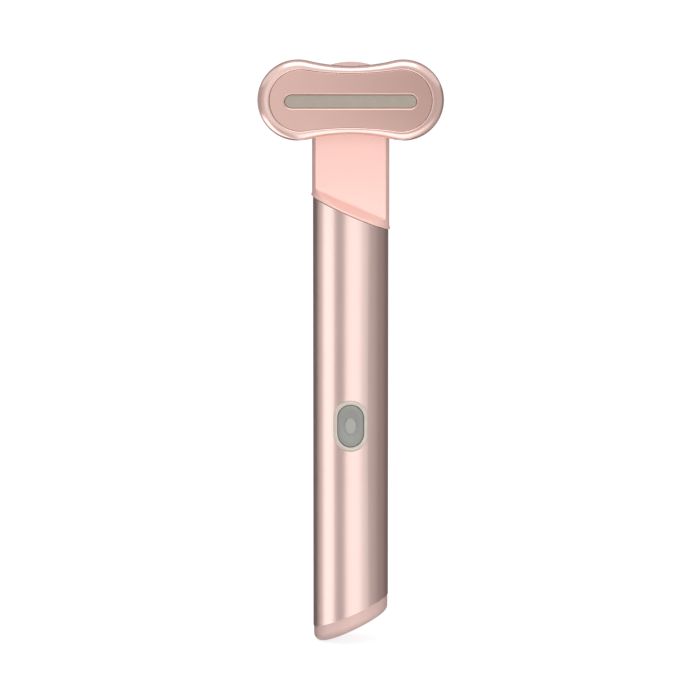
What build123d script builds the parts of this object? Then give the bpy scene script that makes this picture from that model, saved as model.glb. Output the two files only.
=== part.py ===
from build123d import *
import os
from math import cos, hypot, radians, sin, sqrt, tan

# Heated eye massager wand, in millimetres.
# +Z runs up the handle towards the head, -Y is the front, which carries the push button and the
# treatment face, and +X is the wand's right. The origin lies on the handle's axis, level with the
# middle of the push button.

# ---- handle tube: rose aluminium, both ends cut on the slant ----
HANDLE_R = 10.25
TUBE_WALL = 1.0
SLANT_DEG = 23.5
TOP_SEAM_Z = 57.1
BOTTOM_SEAM_Z = -52.4
TUBE_SEAM_TURN = 52.5
SPIGOT_FIT = 0.05
SPIGOT_WALL = 1.3
SEAL_DEPTH = 0.6
SEAL_HEIGHT = 1.0

# ---- end cap with the charging port ----
CAP_SETBACK = 0.17
CAP_DROP = 4.3
CAP_EDGE_R = 1.7
CAP_SPIGOT_RISE = 8.9
CAP_FLOOR = 1.4
CAP_FLOOR_RISE = 0.2
CAP_SEAL_DROP = 2.4
POCKET_W = 12.4
POCKET_D = 7.0
USB_W = 8.94
USB_D = 3.26
USB_LENGTH = 7.35
USB_SHEET = 0.3
USB_RECESS = 0.3
USB_SLOT_FIT = 0.2
USB_TONGUE_W = 6.69
USB_TONGUE_T = 0.7
USB_TONGUE_RECESS = 0.8
USB_BASE = 1.5
GASKET_RIM = 1.2
GASKET_T = 1.0

# ---- main board, which faces the button ----
BOARD_T = 1.0
BOARD_MARGIN = 1.85
BOARD_TAIL_W = 12.0
BOARD_TAIL_JOIN = 1.0
BOARD_TOP_Z = 14.0
BOARD_GAP = 0.2
BOARD_SCREW_INSET = 1.8
BOARD_SCREW_DROP = 3.0
BOARD_HOLE_FIT = 0.1
CHIP_T = 0.9
CONTROLLER_SIDE = 5.0
CONTROLLER_X = -1.5
CONTROLLER_DROP = 31.0
CHARGER_SIDE = 3.0
CHARGER_X = 1.8
CHARGER_DROP = 47.0
COIL_SIDE = 3.2
COIL_T = 1.6
COIL_X = -2.6
COIL_DROP = 40.0
MOTOR_DRIVER_W = 2.9
MOTOR_DRIVER_H = 1.6
MOTOR_DRIVER_X = 3.4
MOTOR_DRIVER_DROP = 25.5
HEATER_DRIVER_SIDE = 3.0
HEATER_DRIVER_X = -4.2
HEATER_DRIVER_DROP = 24.5
CAPACITOR_COUNT = 4
CAPACITOR_W = 1.2
CAPACITOR_H = 2.0
CAPACITOR_X = 4.6
CAPACITOR_DROP = 32.0
CAPACITOR_PITCH = 3.0
INDICATOR_W = 1.6
INDICATOR_H = 0.9
INDICATOR_T = 0.6
INDICATOR_GAP = 0.2

# ---- tactile switch and push button ----
SWITCH_SIDE = 6.0
SWITCH_H = 1.6
PLUNGER_R = 1.7
PLUNGER_FIT = 0.05
PLUNGER_DEPTH = 0.6
PLUNGER_OVERTRAVEL = 0.1
BUTTON_TRAVEL = 0.4
BUTTON_W = 7.3
BUTTON_H = 11.46
BUTTON_FIT = 0.1
BUTTON_FLANGE = 0.8
BUTTON_SHOULDER = 0.8
BUTTON_SEAT_GAP = 0.18
DISH_R = 14.0
DISH_DEPTH = 0.75
NUB_W = 2.4
NUB_H = 3.6
NUB_RISE = 0.3
NUB_ROOT = 0.5
BEZEL_W = 9.14
BEZEL_H = 13.9
BEZEL_FIT = 0.05
BEZEL_PROUD = 0.2
BEZEL_BACK = 0.8
BEZEL_FLANGE = 1.0

# ---- inner chassis, which slides into the tube with all that it carries ----
CHASSIS_FIT = 0.1
CHASSIS_WALL = 1.0
RAIL_W = 1.7
RAIL_T = 1.0
SCREW_R = 0.65
SCREW_HEAD_R = 1.15
SCREW_HEAD_H = 0.7
SCREW_DRIVE_R = 0.5
SCREW_DRIVE_DEPTH = 0.4
SCREW_REACH = 3.0
BOSS_WALL = 0.9

# ---- battery ----
CELL_R = 4.0
CELL_LENGTH = 42.0
CELL_LOW_Z = -39.0
CELL_BUTTON_R = 1.5
CELL_BUTTON_H = 0.6
CELL_CUP_T = 0.25
SADDLE_T = 1.5
SADDLE_INSET = 8.0
PAD_W = 6.0
PAD_INSET = 3.0

# ---- vibration motor ----
MOTOR_R = 3.5
MOTOR_LENGTH = 16.5
MOTOR_LOW_Z = 20.5
MOTOR_Y = 1.5
MOTOR_NOSE_R = 1.3
MOTOR_NOSE_H = 0.9
MOUNT_RUBBER = 1.0
MOUNT_LENGTH = 3.0
MOUNT_INSET = 1.0
CLAMP_T = 1.4
CLAMP_EDGE = 1.1
CLAMP_SCREW_GAP = 1.5
CLAMP_CLEARANCE = 0.3
SHAFT_R = 0.5
SHAFT_FIT = 0.05
SHAFT_IN_CAN = 7.5
SHAFT_END_GAP = 0.5
WEIGHT_R = 3.0
WEIGHT_LENGTH = 4.5
WEIGHT_GAP = 0.7
WEIGHT_HUB_R = 1.1
SHAFT_TIP = 0.4

# ---- neck: pink moulding with two flats and a ball-nosed top ----
NECK_PROUD = 0.2
NECK_HALF_T = 4.5
NECK_LIP = 2.2
NECK_BLEND_R = 2.0
NECK_FRONT_WALL = 1.8
NECK_COLLAR_WALL = 1.4
NECK_SPIGOT_DROP = 11.6
NECK_SEAL_DROP = 6.6
NECK_SIDE_WALL = 3.05
COVER_LEDGE = 0.8
COVER_T = 1.4
COVER_FIT = 0.05
COVER_LOW_Z = 65.0
COVER_CORNER_R = 1.5

# ---- swivel ----
PIVOT_Z = 89.0
SWIVEL_GAP = 0.3
SWIVEL_LIMIT_DEG = 90.0
SPINDLE_R = 4.0
SPINDLE_BORE_R = 2.3
SPINDLE_FIT = 0.05
SPINDLE_FLANGE_R = 6.15
SPINDLE_FLANGE_T = 0.8
SPINDLE_TAIL = 0.7
WASHER_T = 0.4
WASHER_GAP = 0.05
WASHER_RIM = 1.9
RING_T = 0.6
RING_GROOVE = 0.5
RING_RIM = 1.6
RING_MOUTH_DEG = 50.0
FLANGE_SCREW_R = 4.95
FLANGE_SCREW_REACH = 1.1
PEG_R = 0.9
PEG_ARM = 7.2
PEG_REACH = 0.7
PEG_FIT = 0.1

# ---- head ----
HEAD_LOBE_R = 10.95
HEAD_LOBE_X = 14.2
HEAD_WAIST_HALF = 9.05
HEAD_T = 8.5
HEAD_SPLIT = 3.0
HEAD_WALL = 1.8
HEAD_FLOOR = 1.6
HEAD_BACK_R = 2.4
RIM_W = 2.57
RIM_OUTER_R = 1.6
RIM_INNER_R = 0.9
RIM_SHELF_W = 1.6
RIM_SHELF_T = 1.2
TONGUE_T = 1.0
TONGUE_H = 1.0
TONGUE_FIT = 0.05
PLATE_T = 1.2
PLATE_PROUD = 0.2
PLATE_FIT = 0.05
PLATE_EDGE = 0.45
WINDOW_W = 35.8
WINDOW_H = 3.85
WINDOW_FIT = 0.05
WINDOW_RECESS = 0.3
WINDOW_FLANGE = 1.1
WINDOW_FLANGE_T = 0.9
HEATER_T = 0.2
HEATER_MARGIN = 0.4
HEATER_SLOT_FIT = 0.2
PAD_T = 1.1
THERMISTOR_X = 14.2
THERMISTOR_RISE = 5.1
THERMISTOR_R = 0.6
THERMISTOR_T = 0.8
LED_BOARD_W = 37.0
LED_BOARD_H = 5.2
LED_BOARD_T = 1.0
LED_BOARD_STAND = 2.5
LED_COUNT = 7
LED_PITCH = 4.2
LED_SIDE = 1.6
LED_T = 0.7
POST_X = 16.3
POST_R = 1.3

# ---- wires ----
BUNDLE_R = 0.9
BUNDLE_BEND_R = 3.0
BUNDLE_TURN = 3.0
BUNDLE_LANDING = 3.0
BUNDLE_TAIL = 0.5
CONNECTOR_W = 5.0
CONNECTOR_H = 3.2
LEAD_R = 0.4
LEAD_BEND_R = 1.2
CELL_LEAD_X = 1.1
CELL_LEAD_RISE = 4.4
MOTOR_LEAD_X = 2.4
MOTOR_LEAD_DROP = 1.2

# ---- sizes that follow from those above ----
SLOPE = tan(radians(SLANT_DEG))
TUBE_INNER_R = HANDLE_R - TUBE_WALL
SPIGOT_R = TUBE_INNER_R - SPIGOT_FIT
SPIGOT_BORE_R = SPIGOT_R - SPIGOT_WALL
CAP_R = HANDLE_R - CAP_SETBACK
CAP_BOTTOM_Z = BOTTOM_SEAM_Z - CAP_DROP
CAP_SPIGOT_TOP_Z = BOTTOM_SEAM_Z + CAP_SPIGOT_RISE
CAP_FLOOR_Z = BOTTOM_SEAM_Z + CAP_FLOOR_RISE
POCKET_ROOF_Z = CAP_FLOOR_Z - CAP_FLOOR
USB_MOUTH_Z = POCKET_ROOF_Z + USB_RECESS
USB_TOP_Z = USB_MOUTH_Z + USB_LENGTH
BOARD_BACK_Y = -USB_D / 2
BOARD_FRONT_Y = BOARD_BACK_Y - BOARD_T
BOARD_LOW_Z = CAP_FLOOR_Z + GASKET_T + BOARD_GAP
BOARD_W = 2 * (TUBE_INNER_R - BOARD_MARGIN)
BOARD_SCREW_X = BOARD_W / 2 - BOARD_SCREW_INSET
BOARD_SCREW_Z = BOARD_TOP_Z - BOARD_SCREW_DROP
CHASSIS_R = TUBE_INNER_R - CHASSIS_FIT
CHASSIS_BORE_R = CHASSIS_R - CHASSIS_WALL
CHASSIS_LOW_Z = CAP_SPIGOT_TOP_Z
NECK_SPIGOT_LOW_Z = TOP_SEAM_Z - NECK_SPIGOT_DROP
CHASSIS_TOP_Z = NECK_SPIGOT_LOW_Z
CELL_Y = CHASSIS_BORE_R - CELL_R
CELL_TOP_Z = CELL_LOW_Z + CELL_LENGTH
MOTOR_TOP_Z = MOTOR_LOW_Z + MOTOR_LENGTH
MOUNT_R = MOTOR_R + MOUNT_RUBBER
CLAMP_SCREW_X = MOUNT_R + CLAMP_SCREW_GAP
CLAMP_HALF_W = CLAMP_SCREW_X + CLAMP_EDGE
CLAMP_FRONT_Y = BOARD_BACK_Y - CLAMP_T
BEZEL_R = HANDLE_R + BEZEL_PROUD
BEZEL_INNER_R = TUBE_INNER_R - BEZEL_BACK
SWITCH_FRONT_Y = BOARD_FRONT_Y - SWITCH_H
# The key's flange is flat and the bezel behind which it sits is round, so the flange's long sides
# are what comes near the bezel first.
FLANGE_HALF_W = BUTTON_W / 2 + BUTTON_FLANGE
SHOULDER_Y = BUTTON_SEAT_GAP - sqrt(BEZEL_INNER_R**2 - FLANGE_HALF_W**2)
BUTTON_BACK_Y = SHOULDER_Y + BUTTON_SHOULDER
NECK_R = HANDLE_R + NECK_PROUD
NECK_CAVITY_HALF_W = NECK_R - NECK_SIDE_WALL
NECK_FRONT_Y = -NECK_HALF_T
NECK_INSIDE_Y = NECK_FRONT_Y + NECK_FRONT_WALL
LIP_TOP_Z = TOP_SEAM_Z + NECK_LIP
HEAD_BACK_Y = NECK_FRONT_Y - SWIVEL_GAP
HEAD_FLOOR_Y = HEAD_BACK_Y - HEAD_FLOOR
HEAD_SPLIT_Y = HEAD_BACK_Y - HEAD_SPLIT
RIM_FRONT_Y = HEAD_BACK_Y - HEAD_T
PLATE_FRONT_Y = RIM_FRONT_Y - PLATE_PROUD
PLATE_BACK_Y = PLATE_FRONT_Y + PLATE_T
SHELF_BACK_Y = PLATE_BACK_Y + RIM_SHELF_T
LED_BOARD_BACK_Y = HEAD_FLOOR_Y - LED_BOARD_STAND
LED_BOARD_FRONT_Y = LED_BOARD_BACK_Y - LED_BOARD_T
FAR = 4 * HANDLE_R
# The concave waist is an arc that touches both lobes, so its radius and centre follow from them.
WAIST_R = (HEAD_LOBE_X**2 + HEAD_WAIST_HALF**2 - HEAD_LOBE_R**2) / (
    2 * (HEAD_LOBE_R - HEAD_WAIST_HALF)
)
WAIST_CENTRE = WAIST_R + HEAD_WAIST_HALF

UP = (Align.CENTER, Align.CENTER, Align.MIN)


# ---- helpers ----
def barrel(radius, low_z, high_z, x=0.0, y=0.0):
    """A round bar parallel to the handle's axis."""
    return Pos(x, y, low_z) * Cylinder(radius, high_z - low_z, align=UP)


def slab(sketch, front_y, back_y):
    """A front-view outline given thickness from front_y back to back_y."""
    return extrude(Plane.XZ.offset(-back_y) * sketch, amount=back_y - front_y)


def at_pivot(sketch):
    """Lifts a front-view outline from the origin to the swivel's axis."""
    return Pos(0, PIVOT_Z) * sketch


def block(x0, x1, y0, y1, z0, z1):
    """A plain block between two corners."""
    box = Box(x1 - x0, y1 - y0, z1 - z0, align=(Align.MIN, Align.MIN, Align.MIN))
    return Pos(x0, y0, z0) * box


def upright_slot(width, height):
    """A front-view stadium that stands on end, with full-round ends."""
    return SlotOverall(height, width, rotation=90)


def top_slant(z_on_axis):
    """A plane that falls towards +X, like the tube's upper cut, with its normal upwards."""
    tilt = radians(SLANT_DEG)
    return Plane(
        origin=(0, 0, z_on_axis),
        x_dir=(0, -1, 0),
        z_dir=(sin(tilt), 0, cos(tilt)),
    )


def bottom_slant(z_on_axis):
    """A plane that rises towards +X, like the tube's lower cut, with its normal upwards."""
    tilt = radians(SLANT_DEG)
    return Plane(
        origin=(0, 0, z_on_axis),
        x_dir=(0, -1, 0),
        z_dir=(-sin(tilt), 0, cos(tilt)),
    )


def above(shape, plane):
    """What lies on the side of a plane that its normal points to."""
    return split(shape, bisect_by=plane, keep=Keep.TOP)


def below(shape, plane):
    """What lies on the far side of a plane from its normal."""
    return split(shape, bisect_by=plane, keep=Keep.BOTTOM)


def ring(outer_r, inner_r, low_z, high_z):
    """A ring around the handle's axis."""
    return barrel(outer_r, low_z, high_z) - barrel(inner_r, low_z, high_z)


def bone(inset=0.0):
    """The head's outline, two lobes joined by a concave waist, inset all round."""
    lobe = HEAD_LOBE_R - inset
    span = hypot(HEAD_LOBE_X, WAIST_CENTRE)
    touch_x = HEAD_LOBE_X * (1 - lobe / span)
    touch_z = WAIST_CENTRE * lobe / span
    waist = HEAD_WAIST_HALF - inset
    right = ThreePointArc((touch_x, -touch_z), (HEAD_LOBE_X + lobe, 0), (touch_x, touch_z))
    top = ThreePointArc((touch_x, touch_z), (0, waist), (-touch_x, touch_z))
    left = ThreePointArc((-touch_x, touch_z), (-HEAD_LOBE_X - lobe, 0), (-touch_x, -touch_z))
    bottom = ThreePointArc((-touch_x, -touch_z), (0, -waist), (touch_x, -touch_z))
    return at_pivot(make_face(Curve([right, top, left, bottom])))


def window_outline(grow=0.0):
    """The light window's outline on the head, grown all round."""
    return at_pivot(SlotOverall(WINDOW_W + 2 * grow, WINDOW_H + 2 * grow))


def edges_at_y(shape, y):
    """The edges of a shape that lie wholly in the plane at this y."""
    return shape.edges().filter_by_position(Axis.Y, y - 0.001, y + 0.001)


def screw_from_front(x, z, seat_y, reach):
    """A pan-head screw driven backwards, its head's underside at seat_y."""
    top_y = seat_y - SCREW_HEAD_H
    screw = slab(Pos(x, z) * Circle(SCREW_HEAD_R), top_y, seat_y)
    screw -= slab(Pos(x, z) * RegularPolygon(SCREW_DRIVE_R, 6), top_y, top_y + SCREW_DRIVE_DEPTH)
    return screw + slab(Pos(x, z) * Circle(SCREW_R), seat_y, seat_y + reach)


def wire(points, bend_r, radius):
    """A round wire along straight runs joined by arcs."""
    path = FilletPolyline(*points, radius=bend_r)
    start = Plane(origin=path @ 0, z_dir=path % 0)
    return sweep(start * Circle(radius), path=path)


# ---- handle ----
def make_handle_tube():
    blank = ring(HANDLE_R, TUBE_INNER_R, BOTTOM_SEAM_Z - FAR, TOP_SEAM_Z + FAR)
    tube = Rot(0, 0, TUBE_SEAM_TURN) * blank
    tube = below(tube, top_slant(TOP_SEAM_Z))
    tube = above(tube, bottom_slant(BOTTOM_SEAM_Z))
    hole = upright_slot(BEZEL_W + 2 * BEZEL_FIT, BEZEL_H + 2 * BEZEL_FIT)
    return tube - slab(hole, -FAR, 0)


def make_end_cap():
    foot = barrel(CAP_R, CAP_BOTTOM_Z - FAR, BOTTOM_SEAM_Z + FAR)
    foot = below(foot, bottom_slant(BOTTOM_SEAM_Z))
    foot = above(foot, bottom_slant(CAP_BOTTOM_Z))
    rim = foot.edges().filter_by(GeomType.ELLIPSE).sort_by(Axis.Z)[0]
    foot = fillet(rim, CAP_EDGE_R)
    spigot = above(barrel(SPIGOT_R, BOTTOM_SEAM_Z - FAR, CAP_SPIGOT_TOP_Z), bottom_slant(BOTTOM_SEAM_Z))
    cap = foot + spigot
    cap -= barrel(SPIGOT_BORE_R, CAP_FLOOR_Z, CAP_SPIGOT_TOP_Z)
    pocket = SlotOverall(POCKET_W, POCKET_D)
    cap -= extrude(Plane.XY.offset(POCKET_ROOF_Z) * pocket, amount=-FAR)
    slot = SlotOverall(USB_W + 2 * USB_SLOT_FIT, USB_D + 2 * USB_SLOT_FIT)
    cap -= extrude(Plane.XY.offset(POCKET_ROOF_Z) * slot, amount=CAP_FLOOR)
    seal_top = CAP_SPIGOT_TOP_Z - CAP_SEAL_DROP
    return cap - ring(SPIGOT_R, SPIGOT_R - SEAL_DEPTH, seal_top - SEAL_HEIGHT, seal_top)


def make_cap_seal():
    seal_top = CAP_SPIGOT_TOP_Z - CAP_SEAL_DROP
    return ring(TUBE_INNER_R, SPIGOT_R - SEAL_DEPTH, seal_top - SEAL_HEIGHT, seal_top)


def make_usb_shell():
    outside = SlotOverall(USB_W, USB_D)
    inside = SlotOverall(USB_W - 2 * USB_SHEET, USB_D - 2 * USB_SHEET)
    return extrude(Plane.XY.offset(USB_MOUTH_Z) * (outside - inside), amount=USB_LENGTH)


def make_usb_tongue():
    inside = SlotOverall(USB_W - 2 * USB_SHEET, USB_D - 2 * USB_SHEET)
    base = extrude(Plane.XY.offset(USB_TOP_Z) * inside, amount=-USB_BASE)
    half_w = USB_TONGUE_W / 2
    half_t = USB_TONGUE_T / 2
    low = USB_MOUTH_Z + USB_TONGUE_RECESS
    return base + block(-half_w, half_w, -half_t, half_t, low, USB_TOP_Z - USB_BASE)


def make_port_gasket():
    outside = SlotOverall(USB_W + 2 * GASKET_RIM, USB_D + 2 * GASKET_RIM)
    return extrude(Plane.XY.offset(CAP_FLOOR_Z) * (outside - SlotOverall(USB_W, USB_D)), amount=GASKET_T)


# ---- main board ----
def make_main_board():
    half = BOARD_W / 2
    tail = BOARD_TAIL_W / 2
    low_z = CHASSIS_LOW_Z + BOARD_GAP
    board = block(-half, half, BOARD_FRONT_Y, BOARD_BACK_Y, low_z, BOARD_TOP_Z)
    board += block(-tail, tail, BOARD_FRONT_Y, BOARD_BACK_Y, BOARD_LOW_Z, low_z + BOARD_TAIL_JOIN)
    for side in (-1, 1):
        hole = Pos(side * BOARD_SCREW_X, BOARD_SCREW_Z) * Circle(SCREW_R + BOARD_HOLE_FIT)
        board -= slab(hole, BOARD_FRONT_Y, BOARD_BACK_Y)
    return board


def make_board_screws():
    return [
        screw_from_front(side * BOARD_SCREW_X, BOARD_SCREW_Z, BOARD_FRONT_Y, BOARD_T + SCREW_REACH)
        for side in (-1, 1)
    ]


def component(x, z, width, height, depth):
    """A component soldered to the board's front, given by its middle."""
    outline = Pos(x, z) * Rectangle(width, height)
    return slab(outline, BOARD_FRONT_Y - depth, BOARD_FRONT_Y)


def chip(x, drop, side, depth=CHIP_T):
    """A square component, its middle a drop below the board's top edge."""
    return component(x, BOARD_TOP_Z - drop, side, side, depth)


def make_board_chips():
    controller = chip(CONTROLLER_X, CONTROLLER_DROP, CONTROLLER_SIDE)
    charger = chip(CHARGER_X, CHARGER_DROP, CHARGER_SIDE)
    coil = chip(COIL_X, COIL_DROP, COIL_SIDE, COIL_T)
    heater_driver = chip(HEATER_DRIVER_X, HEATER_DRIVER_DROP, HEATER_DRIVER_SIDE)
    driver_z = BOARD_TOP_Z - MOTOR_DRIVER_DROP
    motor_driver = component(MOTOR_DRIVER_X, driver_z, MOTOR_DRIVER_W, MOTOR_DRIVER_H, CHIP_T)
    capacitors = []
    for index in range(CAPACITOR_COUNT):
        z = BOARD_TOP_Z - CAPACITOR_DROP - index * CAPACITOR_PITCH
        capacitors.append(component(CAPACITOR_X, z, CAPACITOR_W, CAPACITOR_H, CHIP_T))
    return [controller, charger, coil, heater_driver, motor_driver, *capacitors]


def make_indicator_leds():
    """Two lamps just past the key's flange, under the ends of the light-guide ring."""
    reach = BUTTON_H / 2 + BUTTON_FLANGE + INDICATOR_GAP + INDICATOR_H / 2
    return [component(0, side * reach, INDICATOR_W, INDICATOR_H, INDICATOR_T) for side in (-1, 1)]


# ---- switch and button ----
def make_switch_body():
    half = SWITCH_SIDE / 2
    body = block(-half, half, SWITCH_FRONT_Y, BOARD_FRONT_Y, -half, half)
    depth = PLUNGER_DEPTH + BUTTON_TRAVEL + PLUNGER_OVERTRAVEL
    return body - slab(Circle(PLUNGER_R + PLUNGER_FIT), SWITCH_FRONT_Y, SWITCH_FRONT_Y + depth)


def make_switch_plunger():
    return slab(Circle(PLUNGER_R), BUTTON_BACK_Y, SWITCH_FRONT_Y + PLUNGER_DEPTH)


def make_button_cap():
    """A stadium key that follows the tube's curve, dished, with a raised oval nub in its middle."""
    stem = slab(upright_slot(BUTTON_W, BUTTON_H), -FAR, SHOULDER_Y)
    key = stem & barrel(BEZEL_R, -BUTTON_H, BUTTON_H)
    floor_y = -BEZEL_R + DISH_DEPTH
    key -= Pos(0, floor_y - DISH_R, 0) * Sphere(DISH_R)
    key += slab(Ellipse(NUB_W / 2, NUB_H / 2), floor_y - NUB_RISE, floor_y + NUB_ROOT)
    flange = upright_slot(2 * FLANGE_HALF_W, BUTTON_H + 2 * BUTTON_FLANGE)
    return key + slab(flange, SHOULDER_Y, BUTTON_BACK_Y)


def make_button_bezel():
    """A light-guide ring that fills the tube's hole and is held by a flange behind it."""
    collar = slab(upright_slot(BEZEL_W, BEZEL_H), -FAR, 0)
    collar &= ring(BEZEL_R, BEZEL_INNER_R, -BEZEL_H, BEZEL_H)
    skirt = slab(upright_slot(BEZEL_W + 2 * BEZEL_FLANGE, BEZEL_H + 2 * BEZEL_FLANGE), -FAR, 0)
    skirt &= ring(TUBE_INNER_R, BEZEL_INNER_R, -BEZEL_H, BEZEL_H)
    opening = upright_slot(BUTTON_W + 2 * BUTTON_FIT, BUTTON_H + 2 * BUTTON_FIT)
    return collar + skirt - slab(opening, -FAR, 0)


# ---- chassis ----
def saddle(low_z, high_z, seat_r, seat_y, face_y):
    """A rib across the chassis with a round seat that opens to the front."""
    rib = barrel(CHASSIS_R, low_z, high_z)
    rib -= block(-FAR, FAR, -FAR, face_y, low_z, high_z)
    rib -= barrel(seat_r, low_z, high_z, y=seat_y)
    if face_y < seat_y:
        rib -= block(-seat_r, seat_r, face_y, seat_y, low_z, high_z)
    return rib


def mount_spans():
    """The stretches of the motor that its two rubber mounts cover."""
    lower = MOTOR_LOW_Z + MOUNT_INSET
    upper = MOTOR_TOP_Z - MOUNT_INSET
    return [(lower, lower + MOUNT_LENGTH), (upper - MOUNT_LENGTH, upper)]


def cell_saddle_spans():
    """The stretches of the battery that its two saddles hold."""
    lower = CELL_LOW_Z + SADDLE_INSET
    upper = CELL_TOP_Z - SADDLE_INSET
    return [(lower, lower + SADDLE_T), (upper - SADDLE_T, upper)]


def make_inner_chassis():
    tray = ring(CHASSIS_R, CHASSIS_BORE_R, CHASSIS_LOW_Z, CHASSIS_TOP_Z)
    tray -= block(-FAR, FAR, -FAR, BOARD_BACK_Y, CHASSIS_LOW_Z, CHASSIS_TOP_Z)
    inside = barrel(CHASSIS_R, CHASSIS_LOW_Z, CHASSIS_TOP_Z)
    for side in (-1, 1):
        x0, x1 = sorted((side * (BOARD_W / 2 - RAIL_T), side * CHASSIS_R))
        rail = block(x0, x1, BOARD_BACK_Y, BOARD_BACK_Y + RAIL_W, CHASSIS_LOW_Z, BOARD_TOP_Z)
        tray += rail & inside
        pillar = Pos(side * BOARD_SCREW_X, BOARD_SCREW_Z) * Circle(SCREW_R + BOSS_WALL)
        tray += slab(pillar, BOARD_BACK_Y, CHASSIS_R) & inside
    for low, high in cell_saddle_spans():
        tray += saddle(low, high, CELL_R, CELL_Y, CELL_Y)
    for low, high in mount_spans():
        tray += saddle(low, high, MOUNT_R, MOTOR_Y, BOARD_BACK_Y)
    for side in (-1, 1):
        pilot = Pos(side * BOARD_SCREW_X, BOARD_SCREW_Z) * Circle(SCREW_R)
        tray -= slab(pilot, BOARD_BACK_Y, BOARD_BACK_Y + SCREW_REACH)
        for low, high in mount_spans():
            pilot = Pos(side * CLAMP_SCREW_X, (low + high) / 2) * Circle(SCREW_R)
            tray -= slab(pilot, BOARD_BACK_Y, BOARD_BACK_Y + SCREW_REACH)
    return tray


# ---- battery ----
def make_battery_cell():
    can = barrel(CELL_R, CELL_LOW_Z, CELL_TOP_Z, y=CELL_Y)
    can = chamfer(can.edges(), CELL_CUP_T)
    return can + barrel(CELL_BUTTON_R, CELL_TOP_Z, CELL_TOP_Z + CELL_BUTTON_H, y=CELL_Y)


def make_battery_pad():
    half = PAD_W / 2
    low = CELL_LOW_Z + PAD_INSET
    high = CELL_TOP_Z - PAD_INSET
    pad = block(-half, half, BOARD_BACK_Y, CELL_Y - CELL_R / 2, low, high)
    return pad - barrel(CELL_R, low, high, y=CELL_Y)


def lead_pair(half_spread, start_y, start_z, end_z):
    """Two thin wires that run up or down the chassis and turn forwards to the board's back."""
    wires = []
    for side in (-1, 1):
        x = side * half_spread
        points = [(x, start_y, start_z), (x, start_y, end_z), (x, BOARD_BACK_Y, end_z)]
        wires.append(wire(points, LEAD_BEND_R, LEAD_R))
    return wires


def make_battery_leads():
    return lead_pair(CELL_LEAD_X, CELL_Y, CELL_TOP_Z + CELL_BUTTON_H, CELL_TOP_Z + CELL_LEAD_RISE)


def make_motor_leads():
    return lead_pair(MOTOR_LEAD_X, MOTOR_Y, MOTOR_LOW_Z, BOARD_TOP_Z - MOTOR_LEAD_DROP)


# ---- vibration motor ----
def make_motor_can():
    can = barrel(MOTOR_R, MOTOR_LOW_Z, MOTOR_TOP_Z, y=MOTOR_Y)
    can += barrel(MOTOR_NOSE_R, MOTOR_TOP_Z, MOTOR_TOP_Z + MOTOR_NOSE_H, y=MOTOR_Y)
    bore_low = MOTOR_TOP_Z - SHAFT_IN_CAN - SHAFT_END_GAP
    return can - barrel(SHAFT_R + SHAFT_FIT, bore_low, MOTOR_TOP_Z + MOTOR_NOSE_H, y=MOTOR_Y)


def make_motor_mounts():
    mounts = []
    for low, high in mount_spans():
        outside = barrel(MOUNT_R, low, high, y=MOTOR_Y)
        mounts.append(outside - barrel(MOTOR_R, low, high, y=MOTOR_Y))
    return mounts


def make_motor_clamp():
    """A bridge over the motor that presses both rubber mounts into their saddles."""
    spans = mount_spans()
    low_z = spans[0][0]
    high_z = spans[1][1]
    bridge = block(-CLAMP_HALF_W, CLAMP_HALF_W, CLAMP_FRONT_Y, BOARD_BACK_Y, low_z, high_z)
    for low, high in spans:
        bridge += block(-MOUNT_R, MOUNT_R, BOARD_BACK_Y, MOTOR_Y, low, high)
        bridge -= barrel(MOUNT_R, low, high, y=MOTOR_Y)
        for side in (-1, 1):
            hole = Pos(side * CLAMP_SCREW_X, (low + high) / 2) * Circle(SCREW_R)
            bridge -= slab(hole, CLAMP_FRONT_Y, BOARD_BACK_Y)
    return bridge - barrel(MOTOR_R + CLAMP_CLEARANCE, low_z, high_z, y=MOTOR_Y)


def make_clamp_screws():
    screws = []
    for low, high in mount_spans():
        for side in (-1, 1):
            x = side * CLAMP_SCREW_X
            screws.append(screw_from_front(x, (low + high) / 2, CLAMP_FRONT_Y, CLAMP_T + SCREW_REACH))
    return screws


def weight_low_z():
    return MOTOR_TOP_Z + MOTOR_NOSE_H + WEIGHT_GAP


def make_motor_shaft():
    top = weight_low_z() + WEIGHT_LENGTH + SHAFT_TIP
    return barrel(SHAFT_R, MOTOR_TOP_Z - SHAFT_IN_CAN, top, y=MOTOR_Y)


def make_eccentric_weight():
    low = weight_low_z()
    high = low + WEIGHT_LENGTH
    half = barrel(WEIGHT_R, low, high, y=MOTOR_Y) - block(-FAR, FAR, -FAR, MOTOR_Y, low, high)
    return half + barrel(WEIGHT_HUB_R, low, high, y=MOTOR_Y) - barrel(SHAFT_R, low, high, y=MOTOR_Y)


# ---- neck ----
def neck_window(half_w, low_z):
    """A front-view outline with a slanted foot and a full-round top about the swivel's axis."""
    left = (-half_w, low_z + SLOPE * half_w)
    right = (half_w, low_z - SLOPE * half_w)
    sides = [Line(left, (-half_w, PIVOT_Z)), Line((half_w, PIVOT_Z), right), Line(right, left)]
    crown = ThreePointArc((-half_w, PIVOT_Z), (0, PIVOT_Z + half_w), (half_w, PIVOT_Z))
    face = make_face(Curve([*sides, crown]))
    feet = face.vertices().sort_by(Axis.Y)[:2]
    return fillet(feet, COVER_CORNER_R)


def flat_cut():
    """What is milled off the neck's front: all that lies above the lip and ahead of the flat."""
    tilt = radians(SLANT_DEG)
    across = Plane(origin=(0, 0, LIP_TOP_Z), x_dir=(0, -1, 0), z_dir=(-cos(tilt), 0, sin(tilt)))
    reach = 2 * (PIVOT_Z - LIP_TOP_Z)
    area = Pos(NECK_HALF_T, 0) * Rectangle(NECK_R, reach, align=(Align.MIN, Align.MIN))
    inner_corner = area.vertices().sort_by(Axis.X)[:2].sort_by(Axis.Y)[:1]
    area = fillet(inner_corner, NECK_BLEND_R)
    return extrude(across * area, amount=FAR, both=True)


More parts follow.
